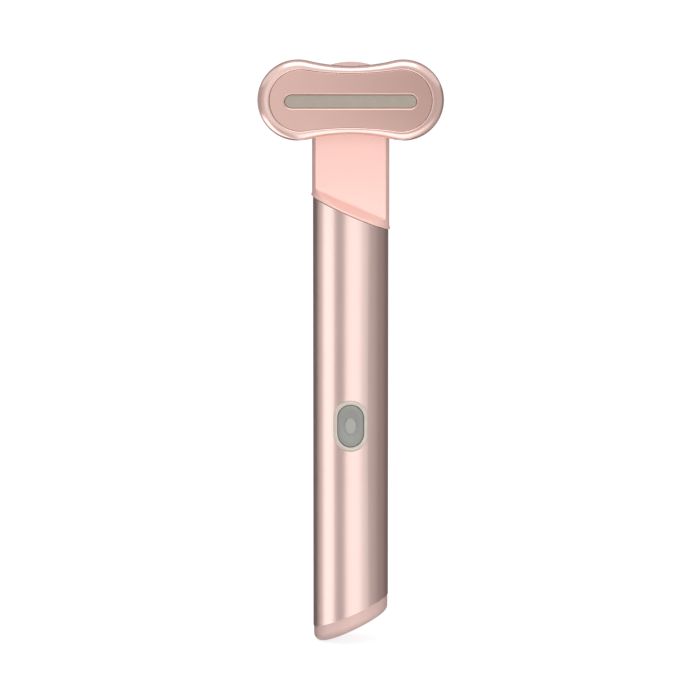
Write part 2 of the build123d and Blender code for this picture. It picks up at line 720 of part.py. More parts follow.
def stop_groove():
    """The half-ring groove that the head's stop peg runs in, below the spindle."""
    inner = PEG_ARM - PEG_R - PEG_FIT
    outer = PEG_ARM + PEG_R + PEG_FIT
    floor_y = NECK_FRONT_Y + PEG_REACH + PEG_FIT
    band = Circle(outer) - Circle(inner)
    lower = Pos(0, -FAR / 2) * Rectangle(2 * FAR, FAR)
    groove = band & lower
    for side in (-1, 1):
        turn = radians(SWIVEL_LIMIT_DEG)
        end = Pos(side * PEG_ARM * sin(turn), -PEG_ARM * cos(turn)) * Circle(PEG_R + PEG_FIT)
        groove += end
    return slab(at_pivot(groove), NECK_FRONT_Y, floor_y)


def make_neck_housing():
    body = barrel(NECK_R, TOP_SEAM_Z - FAR, PIVOT_Z) + Pos(0, 0, PIVOT_Z) * Sphere(NECK_R)
    body = above(body, top_slant(TOP_SEAM_Z))
    cut = flat_cut()
    body = body - cut - mirror(cut, about=Plane.XZ)
    spigot = barrel(SPIGOT_R, NECK_SPIGOT_LOW_Z, TOP_SEAM_Z + FAR)
    body += below(spigot, top_slant(TOP_SEAM_Z))
    bore = barrel(SPIGOT_BORE_R, NECK_SPIGOT_LOW_Z, TOP_SEAM_Z + FAR)
    body -= below(bore, top_slant(LIP_TOP_Z - NECK_COLLAR_WALL))
    cover_inner_y = NECK_HALF_T - COVER_T
    cavity = neck_window(NECK_CAVITY_HALF_W, TOP_SEAM_Z)
    body -= slab(cavity, NECK_INSIDE_Y, cover_inner_y)
    recess = neck_window(NECK_CAVITY_HALF_W + COVER_LEDGE, COVER_LOW_Z)
    body -= slab(recess, cover_inner_y, NECK_HALF_T)
    body -= slab(at_pivot(Circle(SPINDLE_R + SPINDLE_FIT)), NECK_FRONT_Y, NECK_INSIDE_Y)
    body -= stop_groove()
    seal_low = TOP_SEAM_Z - NECK_SEAL_DROP - SEAL_HEIGHT
    return body - ring(SPIGOT_R, SPIGOT_R - SEAL_DEPTH, seal_low, seal_low + SEAL_HEIGHT)


def make_neck_seal():
    seal_low = TOP_SEAM_Z - NECK_SEAL_DROP - SEAL_HEIGHT
    return ring(TUBE_INNER_R, SPIGOT_R - SEAL_DEPTH, seal_low, seal_low + SEAL_HEIGHT)


def make_neck_rear_cover():
    outline = neck_window(NECK_CAVITY_HALF_W + COVER_LEDGE - COVER_FIT, COVER_LOW_Z)
    return slab(outline, NECK_HALF_T - COVER_T, NECK_HALF_T)


# ---- swivel ----
def ring_front_y():
    return NECK_INSIDE_Y + WASHER_GAP + WASHER_T


def make_swivel_spindle():
    flange = Circle(SPINDLE_FLANGE_R)
    for turn in range(3):
        flange -= Rot(0, 0, 120 * turn) * Pos(0, FLANGE_SCREW_R) * Circle(SCREW_R)
    tail_y = ring_front_y() + RING_T + SPINDLE_TAIL
    spindle = slab(at_pivot(flange), HEAD_FLOOR_Y - SPINDLE_FLANGE_T, HEAD_FLOOR_Y)
    spindle += slab(at_pivot(Circle(SPINDLE_R)), HEAD_FLOOR_Y, tail_y)
    groove = Circle(2 * SPINDLE_R) - Circle(SPINDLE_R - RING_GROOVE)
    spindle -= slab(at_pivot(groove), ring_front_y(), ring_front_y() + RING_T)
    return spindle - slab(at_pivot(Circle(SPINDLE_BORE_R)), HEAD_FLOOR_Y - SPINDLE_FLANGE_T, tail_y)


def make_flange_screws():
    screws = []
    seat = HEAD_FLOOR_Y - SPINDLE_FLANGE_T
    for turn in range(3):
        angle = radians(90 + 120 * turn)
        x = FLANGE_SCREW_R * cos(angle)
        z = PIVOT_Z + FLANGE_SCREW_R * sin(angle)
        screws.append(screw_from_front(x, z, seat, SPINDLE_FLANGE_T + FLANGE_SCREW_REACH))
    return screws


def make_wave_washer():
    outline = Circle(SPINDLE_R + WASHER_RIM) - Circle(SPINDLE_R)
    front = NECK_INSIDE_Y + WASHER_GAP
    return slab(at_pivot(outline), front, front + WASHER_T)


def make_retaining_ring():
    outline = Circle(SPINDLE_R + RING_RIM) - Circle(SPINDLE_R - RING_GROOVE)
    reach = 2 * SPINDLE_R
    half_mouth = reach * tan(radians(RING_MOUTH_DEG / 2))
    mouth = make_face(Polyline((0, 0), (-half_mouth, -reach), (half_mouth, -reach), close=True))
    return slab(at_pivot(outline - mouth), ring_front_y(), ring_front_y() + RING_T)


# ---- head ----
def make_head_rim():
    """The polished front housing: a round-nosed rim around the plate, with a shelf that seats it."""
    rim = slab(bone(), RIM_FRONT_Y, HEAD_SPLIT_Y)
    rim -= slab(bone(RIM_W), RIM_FRONT_Y, PLATE_BACK_Y)
    nose = rim.faces().sort_by(Axis.Y)[0]
    rim = fillet(nose.inner_wires()[0].edges(), RIM_INNER_R)
    nose = rim.faces().sort_by(Axis.Y)[0]
    rim = fillet(nose.outer_wire().edges(), RIM_OUTER_R)
    rim -= slab(bone(RIM_W + RIM_SHELF_W), PLATE_BACK_Y, SHELF_BACK_Y)
    return rim - slab(bone(HEAD_WALL), SHELF_BACK_Y, HEAD_SPLIT_Y)


def make_head_back_cover():
    """The rear shell, with a rolled edge, the spindle's seat, two posts and the stop peg."""
    shell = slab(bone(), HEAD_SPLIT_Y, HEAD_BACK_Y)
    shell = fillet(edges_at_y(shell, HEAD_BACK_Y), HEAD_BACK_R)
    shell -= slab(bone(HEAD_WALL + TONGUE_T), HEAD_SPLIT_Y, HEAD_FLOOR_Y)
    tongue = bone(HEAD_WALL + TONGUE_FIT) - bone(HEAD_WALL + TONGUE_T)
    shell += slab(tongue, HEAD_SPLIT_Y - TONGUE_H, HEAD_SPLIT_Y)
    for side in (-1, 1):
        post = at_pivot(Pos(side * POST_X, 0) * Circle(POST_R))
        shell += slab(post, LED_BOARD_BACK_Y, HEAD_FLOOR_Y)
        pilot = at_pivot(Pos(side * POST_X, 0) * Circle(SCREW_R))
        shell -= slab(pilot, LED_BOARD_BACK_Y, LED_BOARD_BACK_Y + LED_BOARD_STAND)
    shell -= slab(at_pivot(Circle(SPINDLE_R)), HEAD_FLOOR_Y, HEAD_BACK_Y)
    for turn in range(3):
        angle = radians(90 + 120 * turn)
        spot = Pos(FLANGE_SCREW_R * cos(angle), FLANGE_SCREW_R * sin(angle)) * Circle(SCREW_R)
        shell -= slab(at_pivot(spot), HEAD_FLOOR_Y, HEAD_FLOOR_Y + FLANGE_SCREW_REACH)
    peg = at_pivot(Pos(0, -PEG_ARM) * Circle(PEG_R))
    return shell + slab(peg, HEAD_BACK_Y, NECK_FRONT_Y + PEG_REACH)


def make_contact_plate():
    plate = slab(bone(RIM_W + PLATE_FIT), PLATE_FRONT_Y, PLATE_BACK_Y)
    plate = chamfer(edges_at_y(plate, PLATE_FRONT_Y), PLATE_EDGE)
    return plate - slab(window_outline(WINDOW_FIT), PLATE_FRONT_Y, PLATE_BACK_Y)


def make_light_window():
    front_y = PLATE_FRONT_Y + WINDOW_RECESS
    pane = slab(window_outline(), front_y, PLATE_BACK_Y)
    return pane + slab(window_outline(WINDOW_FLANGE), PLATE_BACK_Y, PLATE_BACK_Y + WINDOW_FLANGE_T)


def heater_outline():
    """The plate's back that is free for the heater, around the window's flange."""
    inset = RIM_W + RIM_SHELF_W + HEATER_MARGIN
    return bone(inset) - window_outline(WINDOW_FLANGE + HEATER_SLOT_FIT)


def make_heater_film():
    return slab(heater_outline(), PLATE_BACK_Y, PLATE_BACK_Y + HEATER_T)


def make_insulation_pad():
    front = PLATE_BACK_Y + HEATER_T
    bead = at_pivot(Pos(THERMISTOR_X, THERMISTOR_RISE) * Circle(THERMISTOR_R))
    return slab(heater_outline() - bead, front, front + PAD_T)


def make_thermistor():
    front = PLATE_BACK_Y + HEATER_T
    bead = at_pivot(Pos(THERMISTOR_X, THERMISTOR_RISE) * Circle(THERMISTOR_R))
    return slab(bead, front, front + THERMISTOR_T)


def make_led_board():
    board = at_pivot(SlotOverall(LED_BOARD_W, LED_BOARD_H))
    for side in (-1, 1):
        board -= at_pivot(Pos(side * POST_X, 0) * Circle(SCREW_R))
    return slab(board, LED_BOARD_FRONT_Y, LED_BOARD_BACK_Y)


def make_leds():
    lamps = []
    for index in range(LED_COUNT):
        x = (index - (LED_COUNT - 1) / 2) * LED_PITCH
        lamp = at_pivot(Pos(x, 0) * Rectangle(LED_SIDE, LED_SIDE))
        lamps.append(slab(lamp, LED_BOARD_FRONT_Y - LED_T, LED_BOARD_FRONT_Y))
    return lamps


def make_led_board_screws():
    reach = LED_BOARD_T + LED_BOARD_STAND
    return [screw_from_front(side * POST_X, PIVOT_Z, LED_BOARD_FRONT_Y, reach) for side in (-1, 1)]


# ---- wiring through the neck ----
def bundle_end_y():
    return ring_front_y() + RING_T + SPINDLE_TAIL + BUNDLE_TAIL


def make_head_wires():
    """The head's wires where they run through the hollow spindle, on the swivel's own axis."""
    return slab(at_pivot(Circle(BUNDLE_R)), LED_BOARD_BACK_Y, bundle_end_y())


def make_neck_connector():
    plug = at_pivot(Rectangle(CONNECTOR_W, CONNECTOR_H))
    return slab(plug, bundle_end_y() + SWIVEL_GAP, NECK_HALF_T - COVER_T)


def make_neck_wires():
    """The bundle from the swivel down the neck, over the motor clamp and on to the main board."""
    start_y = bundle_end_y() + SWIVEL_GAP + BUNDLE_R
    clear_y = CLAMP_FRONT_Y - SCREW_HEAD_H - 2 * BUNDLE_R
    landing_y = BOARD_FRONT_Y - BUNDLE_R
    points = [
        (0, start_y, PIVOT_Z - CONNECTOR_H / 2),
        (0, start_y, LIP_TOP_Z + BUNDLE_TURN),
        (0, clear_y, CHASSIS_TOP_Z + BUNDLE_TURN),
        (0, clear_y, MOTOR_LOW_Z),
        (0, landing_y, BOARD_TOP_Z),
        (0, landing_y, BOARD_TOP_Z - BUNDLE_LANDING),
    ]
    return wire(points, BUNDLE_BEND_R, BUNDLE_R)


NODES = {
    "handle_tube": make_handle_tube,
    "end_cap": make_end_cap,
    "cap_seal": make_cap_seal,
    "usb_shell": make_usb_shell,
    "usb_tongue": make_usb_tongue,
    "port_gasket": make_port_gasket,
    "main_board": make_main_board,
    "board_chips": make_board_chips,
    "board_screws": make_board_screws,
    "indicator_leds": make_indicator_leds,
    "switch_body": make_switch_body,
    "switch_plunger": make_switch_plunger,
    "button_cap": make_button_cap,
    "button_bezel": make_button_bezel,
    "inner_chassis": make_inner_chassis,
    "battery_cell": make_battery_cell,
    "battery_pad": make_battery_pad,
    "battery_leads": make_battery_leads,
    "motor_can": make_motor_can,
    "motor_mounts": make_motor_mounts,
    "motor_clamp": make_motor_clamp,
    "clamp_screws": make_clamp_screws,
    "motor_leads": make_motor_leads,
    "motor_shaft": make_motor_shaft,
    "eccentric_weight": make_eccentric_weight,
    "neck_housing": make_neck_housing,
    "neck_seal": make_neck_seal,
    "neck_rear_cover": make_neck_rear_cover,
    "neck_connector": make_neck_connector,
    "neck_wires": make_neck_wires,
    "swivel_spindle": make_swivel_spindle,
    "flange_screws": make_flange_screws,
    "wave_washer": make_wave_washer,
    "retaining_ring": make_retaining_ring,
    "head_rim": make_head_rim,
    "head_back_cover": make_head_back_cover,
    "contact_plate": make_contact_plate,
    "light_window": make_light_window,
    "heater_film": make_heater_film,
    "insulation_pad": make_insulation_pad,
    "thermistor": make_thermistor,
    "led_board": make_led_board,
    "leds": make_leds,
    "led_board_screws": make_led_board_screws,
    "head_wires": make_head_wires,
}


def main():
    os.makedirs("parts", exist_ok=True)
    for name, make in NODES.items():
        made = make()
        pieces = made if isinstance(made, list) else [made]
        solids = [solid for piece in pieces for solid in piece.solids()]
        export_step(Compound(solids), f"parts/{name}.step")


main()
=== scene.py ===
import math

import bmesh
import bpy
from mathutils import Matrix, Vector


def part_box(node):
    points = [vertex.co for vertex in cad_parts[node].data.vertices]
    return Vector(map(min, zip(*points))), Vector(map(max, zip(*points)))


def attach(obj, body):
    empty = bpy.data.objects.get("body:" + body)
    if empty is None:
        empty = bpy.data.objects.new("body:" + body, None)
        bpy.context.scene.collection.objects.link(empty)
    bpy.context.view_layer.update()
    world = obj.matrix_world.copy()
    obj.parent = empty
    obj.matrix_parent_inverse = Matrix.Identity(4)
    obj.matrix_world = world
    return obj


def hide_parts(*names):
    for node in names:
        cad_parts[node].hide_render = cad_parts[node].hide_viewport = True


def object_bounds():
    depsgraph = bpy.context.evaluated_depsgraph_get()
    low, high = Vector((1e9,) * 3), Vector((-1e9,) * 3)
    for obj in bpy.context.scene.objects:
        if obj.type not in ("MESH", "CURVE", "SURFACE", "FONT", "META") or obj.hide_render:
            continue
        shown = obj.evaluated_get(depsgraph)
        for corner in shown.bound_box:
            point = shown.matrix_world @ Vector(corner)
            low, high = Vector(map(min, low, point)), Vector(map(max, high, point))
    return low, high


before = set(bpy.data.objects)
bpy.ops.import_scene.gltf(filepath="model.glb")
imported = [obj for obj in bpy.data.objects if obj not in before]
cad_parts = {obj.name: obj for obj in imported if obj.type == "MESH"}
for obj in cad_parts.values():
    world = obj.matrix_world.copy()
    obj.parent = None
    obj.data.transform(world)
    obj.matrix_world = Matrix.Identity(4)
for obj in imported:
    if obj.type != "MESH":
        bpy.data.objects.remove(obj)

cad_low, cad_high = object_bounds()


# ---- handle tube ----
# The handle is a drawn aluminium tube, blasted with fine beads and anodised rose gold. Both ends are
# sawn on the slant and their edges broken, where the colour is thinnest and the bare metal shows.
MM = 0.001
SLANT = math.tan(math.radians(23.5))
TUBE_LOW, TUBE_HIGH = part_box("handle_tube")
TUBE_R = TUBE_HIGH.x
TUBE_TOP = TUBE_HIGH.z - TUBE_R * SLANT
TUBE_FOOT = TUBE_LOW.z + TUBE_R * SLANT
ROSE_ANODISED = (0.65, 0.50, 0.465)
ROSE_ANODISED_DEEP = (0.59, 0.45, 0.415)
BARE_EDGE = (0.84, 0.70, 0.65)
EDGE_WORN = 0.1 * MM
EDGE_FADE = 0.15 * MM


class Value:
    """What one output of a node gives, such as a number that changes over a surface."""

    def __init__(self, nodes, socket):
        self.nodes = nodes
        self.socket = socket

    def maths(self, operation, *terms):
        return self.nodes.node("ShaderNodeMath", {"operation": operation}, dict(enumerate(terms)))

    def __add__(self, other):
        return self.maths("ADD", self, other)

    __radd__ = __add__

    def __mul__(self, other):
        return self.maths("MULTIPLY", self, other)

    __rmul__ = __mul__

    def __sub__(self, other):
        return self.maths("SUBTRACT", self, other)

    def __rsub__(self, other):
        return self.maths("SUBTRACT", other, self)

    def __truediv__(self, other):
        return self.maths("DIVIDE", self, other)

    def __pow__(self, other):
        return self.maths("POWER", self, other)

    def __abs__(self):
        return self.maths("ABSOLUTE", self)

    def lesser(self, other):
        return self.maths("MINIMUM", self, other)

    def greater(self, other):
        return self.maths("MAXIMUM", self, other)

    def cycle(self, pitch):
        """Distance from the nearest of a row of lines this far apart."""
        return abs(self.maths("PINGPONG", self, pitch / 2))


class Nodes:
    """A tree of shader nodes."""

    def __init__(self, tree):
        self.tree = tree

    def feed(self, socket, value):
        """Links a socket to another, or sets it to a number or colour."""
        if isinstance(value, Value):
            value = value.socket
        if isinstance(value, bpy.types.NodeSocket):
            self.tree.links.new(value, socket)
        elif hasattr(value, "__len__") and len(value) == 3 and len(socket.default_value) == 4:
            socket.default_value = (*value, 1.0)
        else:
            socket.default_value = value

    def node(self, kind, settings, sockets, output=0):
        """Adds a node with its settings first, then its sockets, and gives one of its outputs."""
        made = self.tree.nodes.new(kind)
        for name, setting in settings.items():
            setattr(made, name, setting)
        for key, value in sockets.items():
            self.feed(made.inputs[key], value)
        return Value(self, made.outputs[output])


class Finish(Nodes):
    """One material of the object, built around a Principled shader."""

    def __init__(self, name, metallic=0.0, roughness=0.4, **fixed):
        self.material = bpy.data.materials.new(name)
        self.material.use_nodes = True
        super().__init__(self.material.node_tree)
        self.shader = self.tree.nodes["Principled BSDF"]
        self.set(Metallic=metallic, Roughness=roughness, **fixed)
        self.place = self.node("ShaderNodeTexCoord", {}, {}, "Object")

    def set(self, **values):
        """Feeds the shader's sockets, each named with _ for a space."""
        for name, value in values.items():
            self.feed(self.shader.inputs[name.replace("_", " ")], value)

    def axis(self, index):
        """X, Y or Z of the surface, in metres."""
        return self.node("ShaderNodeSeparateXYZ", {}, {0: self.place}, index)

    def noise(self, size, detail=2.0, stretch=(1.0, 1.0, 1.0)):
        """Soft random mottle from 0 to 1, whose blotches are about this size in metres."""
        scaled = self.node("ShaderNodeVectorMath", {"operation": "MULTIPLY"}, {0: self.place, 1: stretch})
        return self.node("ShaderNodeTexNoise", {}, {"Vector": scaled, "Scale": 1 / size, "Detail": detail})

    def cells(self, size):
        """Distance from the nearest middle of random cells of about this size."""
        return self.node("ShaderNodeTexVoronoi", {}, {"Vector": self.place, "Scale": 1 / size})

    def ramp(self, value, low, high):
        """0 below low, 1 above high and smooth between them."""
        settings = {"interpolation_type": "SMOOTHSTEP"}
        return self.node("ShaderNodeMapRange", settings, {0: value, 1: low, 2: high, 3: 0.0, 4: 1.0})

    def blend(self, share, first, second):
        """first where share is 0, second where it is 1."""
        sockets = {"Factor": share, 6: first, 7: second}
        return self.node("ShaderNodeMix", {"data_type": "RGBA"}, sockets, output=2)

    def bump(self, height, depth):
        """Relief of this depth in metres, fed to the shader's normal."""
        self.set(Normal=self.node("ShaderNodeBump", {}, {"Height": height, "Distance": depth}))


def dress(finish, *nodes):
    """Gives a finish to CAD nodes that show as they are."""
    for name in nodes:
        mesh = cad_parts[name].data
        mesh.materials.clear()
        mesh.materials.append(finish.material)


def anodised():
    finish = Finish("rose_anodised_tube", metallic=1.0)
    beads = finish.noise(size=0.3 * MM, detail=3.0)
    drift = finish.noise(size=14 * MM)
    colour = finish.blend(drift * 0.6 + beads * 0.3, ROSE_ANODISED_DEEP, ROSE_ANODISED)
    x = finish.axis(0)
    z = finish.axis(2)
    from_edge = abs(z + x * SLANT - TUBE_TOP).lesser(abs(z - x * SLANT - TUBE_FOOT))
    worn = 1.0 - finish.ramp(from_edge + beads * EDGE_WORN, EDGE_WORN, EDGE_WORN + EDGE_FADE)
    finish.set(Base_Color=finish.blend(worn * 0.5, colour, BARE_EDGE))
    finish.set(Roughness=0.27 + beads * 0.06 + drift * 0.03)
    finish.bump(beads, depth=0.014 * MM)
    return finish


dress(anodised(), "handle_tube")


# ---- inner chassis and motor clamp ----
# A half-round carrier, injection moulded in natural ABS, slides into the tube with the battery, the
# motor and the board on it. The motor's clamp is moulded in the same resin and screws down over it.
NATURAL = (0.80, 0.79, 0.75)
NATURAL_DEEP = (0.74, 0.73, 0.68)
EJECTOR_PITCH = 18 * MM
EJECTOR_R = 1.5 * MM


def abs_moulding():
    finish = Finish("natural_moulding", roughness=0.45)
    flow = finish.noise(size=6 * MM, stretch=(1.0, 1.0, 0.3))
    grain = finish.noise(size=0.25 * MM)
    along = finish.axis(2).cycle(EJECTOR_PITCH)
    from_mark = (finish.axis(0) ** 2.0 + along ** 2.0) ** 0.5
    mark = 1.0 - finish.ramp(abs(from_mark - EJECTOR_R), low=0.05 * MM, high=0.15 * MM)
    finish.set(Base_Color=finish.blend(flow * 0.8 + mark * 0.2, NATURAL_DEEP, NATURAL))
    finish.set(Roughness=0.4 + grain * 0.15)
    finish.bump(grain * 0.3 + mark, depth=0.01 * MM)
    return finish


dress(abs_moulding(), "inner_chassis", "motor_clamp", "neck_connector", "switch_plunger")


# ---- battery ----
# A pencil cell in a shrink-wrapped sleeve with bare steel ends. It lies in two saddles on the carrier,
# and a foam strip behind the board holds it there. Two silicone-covered leads run to the board.
SLEEVE = (0.09, 0.22, 0.46)
SLEEVE_DEEP = (0.06, 0.16, 0.36)
CELL_STEEL = (0.66, 0.66, 0.64)
SLEEVE_LAP = 1.2 * MM
SLEEVE_FRAY = 0.1 * MM
FOAM = (0.09, 0.09, 0.095)
FOAM_LIGHT = (0.17, 0.17, 0.175)
LEAD_RED = (0.55, 0.035, 0.03)
LEAD_BLACK = (0.03, 0.03, 0.03)


def sleeve():
    low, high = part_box("battery_cell")
    finish = Finish("cell_sleeve", roughness=0.3, Coat_Roughness=0.1)
    z = finish.axis(2)
    wrinkles = finish.noise(size=1.2 * MM, stretch=(1.0, 1.0, 3.0))
    from_end = (z - low.z).lesser(high.z - z)
    bare = 1.0 - finish.ramp(from_end, SLEEVE_LAP, SLEEVE_LAP + SLEEVE_FRAY)
    wrap = finish.blend(wrinkles, SLEEVE_DEEP, SLEEVE)
    finish.set(Base_Color=finish.blend(bare, wrap, CELL_STEEL), Metallic=bare)
    finish.set(Roughness=0.25 + wrinkles * 0.12, Coat_Weight=0.3 - bare * 0.3)
    finish.bump(wrinkles, depth=0.03 * MM)
    return finish


def closed_cell_foam():
    finish = Finish("closed_cell_foam", roughness=0.9)
    pores = finish.cells(size=0.45 * MM)
    finish.set(Base_Color=finish.blend(pores, FOAM, FOAM_LIGHT))
    finish.set(Roughness=0.8 + pores * 0.15)
    finish.bump(pores, depth=0.12 * MM)
    return finish


def lead_cover():
    """Silicone cover, red on the right-hand lead of a pair and black on the left."""
    finish = Finish("silicone_leads", roughness=0.45)
    skin = finish.noise(size=0.5 * MM)
    right = finish.ramp(finish.axis(0), low=-0.05 * MM, high=0.05 * MM)
    finish.set(Base_Color=finish.blend(right, LEAD_BLACK, LEAD_RED))
    finish.set(Roughness=0.38 + skin * 0.15)
    finish.bump(skin, depth=0.01 * MM)
    return finish


dress(sleeve(), "battery_cell")
dress(closed_cell_foam(), "battery_pad", "insulation_pad")
dress(lead_cover(), "battery_leads", "motor_leads")


# ---- vibration motor ----
# A drawn steel can with a turned steel shaft, which swings a half-round brass weight. Two moulded
# rubber rings hold the can and keep its shake from the board.
CAN_STEEL = (0.64, 0.64, 0.625)
CAN_STEEL_DEEP = (0.55, 0.55, 0.54)
BRASS = (0.74, 0.56, 0.28)
BRASS_DEEP = (0.62, 0.44, 0.19)
RUBBER = (0.028, 0.028, 0.03)
RUBBER_BLOOM = (0.055, 0.055, 0.058)
RING_STRETCH = 0.04


def turned(name, colour, deep, axis, roughness):
    """Metal with the fine rings that a lathe or a draw leaves round one axis."""
    finish = Finish(name, metallic=1.0)
    stretch = [RING_STRETCH] * 3
    stretch[axis] = 1.0
    rings = finish.noise(size=0.12 * MM, detail=3.0, stretch=tuple(stretch))
    tarnish = finish.noise(size=3 * MM)
    finish.set(Base_Color=finish.blend(tarnish * 0.7 + rings * 0.3, deep, colour))
    finish.set(Roughness=roughness + rings * 0.14)
    finish.bump(rings, depth=0.006 * MM)
    return finish


def moulded_rubber():
    finish = Finish("moulded_rubber", roughness=0.6)
    bloom = finish.noise(size=1.5 * MM)
    grain = finish.noise(size=0.2 * MM)
    finish.set(Base_Color=finish.blend(bloom, RUBBER, RUBBER_BLOOM))
    finish.set(Roughness=0.5 + grain * 0.2)
    finish.bump(grain, depth=0.008 * MM)
    return finish


drawn_steel = turned("drawn_steel", CAN_STEEL, CAN_STEEL_DEEP, axis=2, roughness=0.24)
turned_brass = turned("turned_brass", BRASS, BRASS_DEEP, axis=2, roughness=0.28)
dress(drawn_steel, "motor_can", "motor_shaft")
dress(turned_brass, "eccentric_weight")
dress(moulded_rubber(), "motor_mounts", "cap_seal", "neck_seal", "port_gasket")


# ---- circuit boards ----
# The control board and the head's light board are glass-fibre sheets with copper tracks under a green
# mask. Chips, a tactile switch and lamps are soldered to their fronts.
MASK = (0.02, 0.17, 0.075)
TRACK = (0.06, 0.30, 0.14)
CHIP = (0.022, 0.022, 0.024)
CHIP_WORN = (0.05, 0.05, 0.052)
PHOSPHOR = (0.93, 0.80, 0.30)
LAMP_CASE = (0.88, 0.86, 0.80)
TRACK_PITCH = 1.6 * MM
TRACK_SHIFT = 3.0 * MM
LAMP_PITCH = 4.2 * MM
LENS_HALF = 0.6 * MM
LENS_EDGE = 0.05 * MM


def solder_mask():
    """Green mask over straight tracks that shift sideways from cell to cell."""
    finish = Finish("solder_masked_board", roughness=0.3, Specular_IOR_Level=0.55)
    shift = finish.cells(size=5 * MM) * TRACK_SHIFT
    track_x = (finish.axis(0) + shift).cycle(TRACK_PITCH)
    track_z = (finish.axis(2) + shift).cycle(2 * TRACK_PITCH)
    track = 1.0 - finish.ramp(track_x.lesser(track_z), low=0.12 * MM, high=0.2 * MM)
    cloud = finish.noise(size=0.6 * MM)
    finish.set(Base_Color=finish.blend(track * 0.8 + cloud * 0.2, MASK, TRACK))
    finish.set(Roughness=0.24 + cloud * 0.14)
    finish.bump(track, depth=0.02 * MM)
    return finish


def chip_case():
    finish = Finish("moulded_chip", roughness=0.5)
    grain = finish.noise(size=0.12 * MM)
    finish.set(Base_Color=finish.blend(grain, CHIP, CHIP_WORN))
    finish.set(Roughness=0.45 + grain * 0.2)
    finish.bump(grain, depth=0.006 * MM)
    return finish


def lamp_chips():
    """White cases in a row, each with a square of yellow phosphor in its middle."""
    finish = Finish("phosphor_lamps", roughness=0.3, Coat_Weight=0.5, Coat_Roughness=0.1)
    grain = finish.noise(size=0.15 * MM)
    from_middle = finish.axis(0).cycle(LAMP_PITCH)
    case = finish.ramp(from_middle, LENS_HALF - LENS_EDGE, LENS_HALF + LENS_EDGE)
    finish.set(Base_Color=finish.blend(case * (0.8 + grain * 0.2), PHOSPHOR, LAMP_CASE))
    finish.set(Roughness=0.22 + grain * 0.15)
    finish.bump(grain, depth=0.004 * MM)
    return finish


dress(solder_mask(), "main_board", "led_board")
dress(chip_case(), "board_chips", "switch_body", "thermistor", "usb_tongue")
dress(lamp_chips(), "leds", "indicator_leds")


# ---- screws, spindle, spring washer and ring ----
# Small steel parts, bright nickel or zinc plated. The hollow spindle carries the head: it is screwed to
# the head's back cover, and the washer and the ring hold it in the neck's front wall.
NICKEL = (0.72, 0.70, 0.66)
NICKEL_DEEP = (0.62, 0.60, 0.56)


def plated_steel():
    finish = Finish("plated_steel", metallic=1.0)
    cloud = finish.noise(size=1.1 * MM)
    scratches = finish.noise(size=0.1 * MM, detail=3.0, stretch=(1.0, 0.06, 1.0))
    finish.set(Base_Color=finish.blend(cloud, NICKEL_DEEP, NICKEL))
    finish.set(Roughness=0.18 + scratches * 0.16)
    finish.bump(scratches, depth=0.004 * MM)
    return finish


dress(
    plated_steel(), "board_screws", "clamp_screws", "flange_screws", "led_board_screws",
    "swivel_spindle", "wave_washer", "retaining_ring", "usb_shell",
)


# ---- end cap ----
# The foot is moulded in translucent rose polycarbonate, with a fine satin face and a rolled edge, and
# its spigot plugs the slanted end of the tube. A pocket in it seats the charging plug.
ROSE_CLEAR = (0.80, 0.56, 0.52)
ROSE_CLEAR_DEEP = (0.73, 0.49, 0.45)
CAP_DROP = 4.3 * MM
CAP_LOWER = 0.41 * MM
CAP_STEEPER = math.tan(math.radians(25.5)) - SLANT
SHARP_EDGE = math.radians(35)
MERGE = 0.001 * MM


def node_copy(name):
    """A CAD node's mesh with its triangles joined up."""
    work = bmesh.new()
    work.from_mesh(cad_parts[name].data)
    bmesh.ops.remove_doubles(work, verts=work.verts, dist=MERGE)
    return work


def add_piece(name, work, finish, body, slot, *nodes):
    """Makes a mesh a piece of the object, in the place of CAD nodes."""
    bmesh.ops.recalc_face_normals(work, faces=work.faces)
    for face in work.faces:
        face.smooth = True
    for edge in work.edges:
        edge.smooth = edge.calc_face_angle(0.0) < SHARP_EDGE
    mesh = bpy.data.meshes.new(name)
    work.to_mesh(mesh)
    work.free()
    mesh.materials.append(finish.material)
    made = bpy.data.objects.new(name, mesh)
    bpy.context.scene.collection.objects.link(made)
    made.modifiers.new("flat_faces", "WEIGHTED_NORMAL").keep_sharp = True
    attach(made, body)
    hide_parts(*nodes)


def lowered_cap():
    """The cap with its foot drawn down a little, and cut a little steeper than the tube."""
    work = node_copy("end_cap")
    for vert in work.verts:
        below_seam = TUBE_FOOT + vert.co.x * SLANT - vert.co.z
        share = min(max(below_seam / CAP_DROP, 0.0), 1.0)
        vert.co.z -= share * (CAP_LOWER - vert.co.x * CAP_STEEPER)
    return work


cap_finish = Finish("translucent_rose", roughness=0.3, Transmission_Weight=0.12, IOR=1.5)
cap_cloud = cap_finish.noise(size=5 * MM)
cap_grain = cap_finish.noise(size=0.22 * MM)
cap_finish.set(Base_Color=cap_finish.blend(cap_cloud, ROSE_CLEAR_DEEP, ROSE_CLEAR))
cap_finish.set(Roughness=0.26 + cap_grain * 0.1)
cap_finish.bump(cap_grain, depth=0.002 * MM)
add_piece("moulded_cap", lowered_cap(), cap_finish, "handle", "translucent_rose", "end_cap")


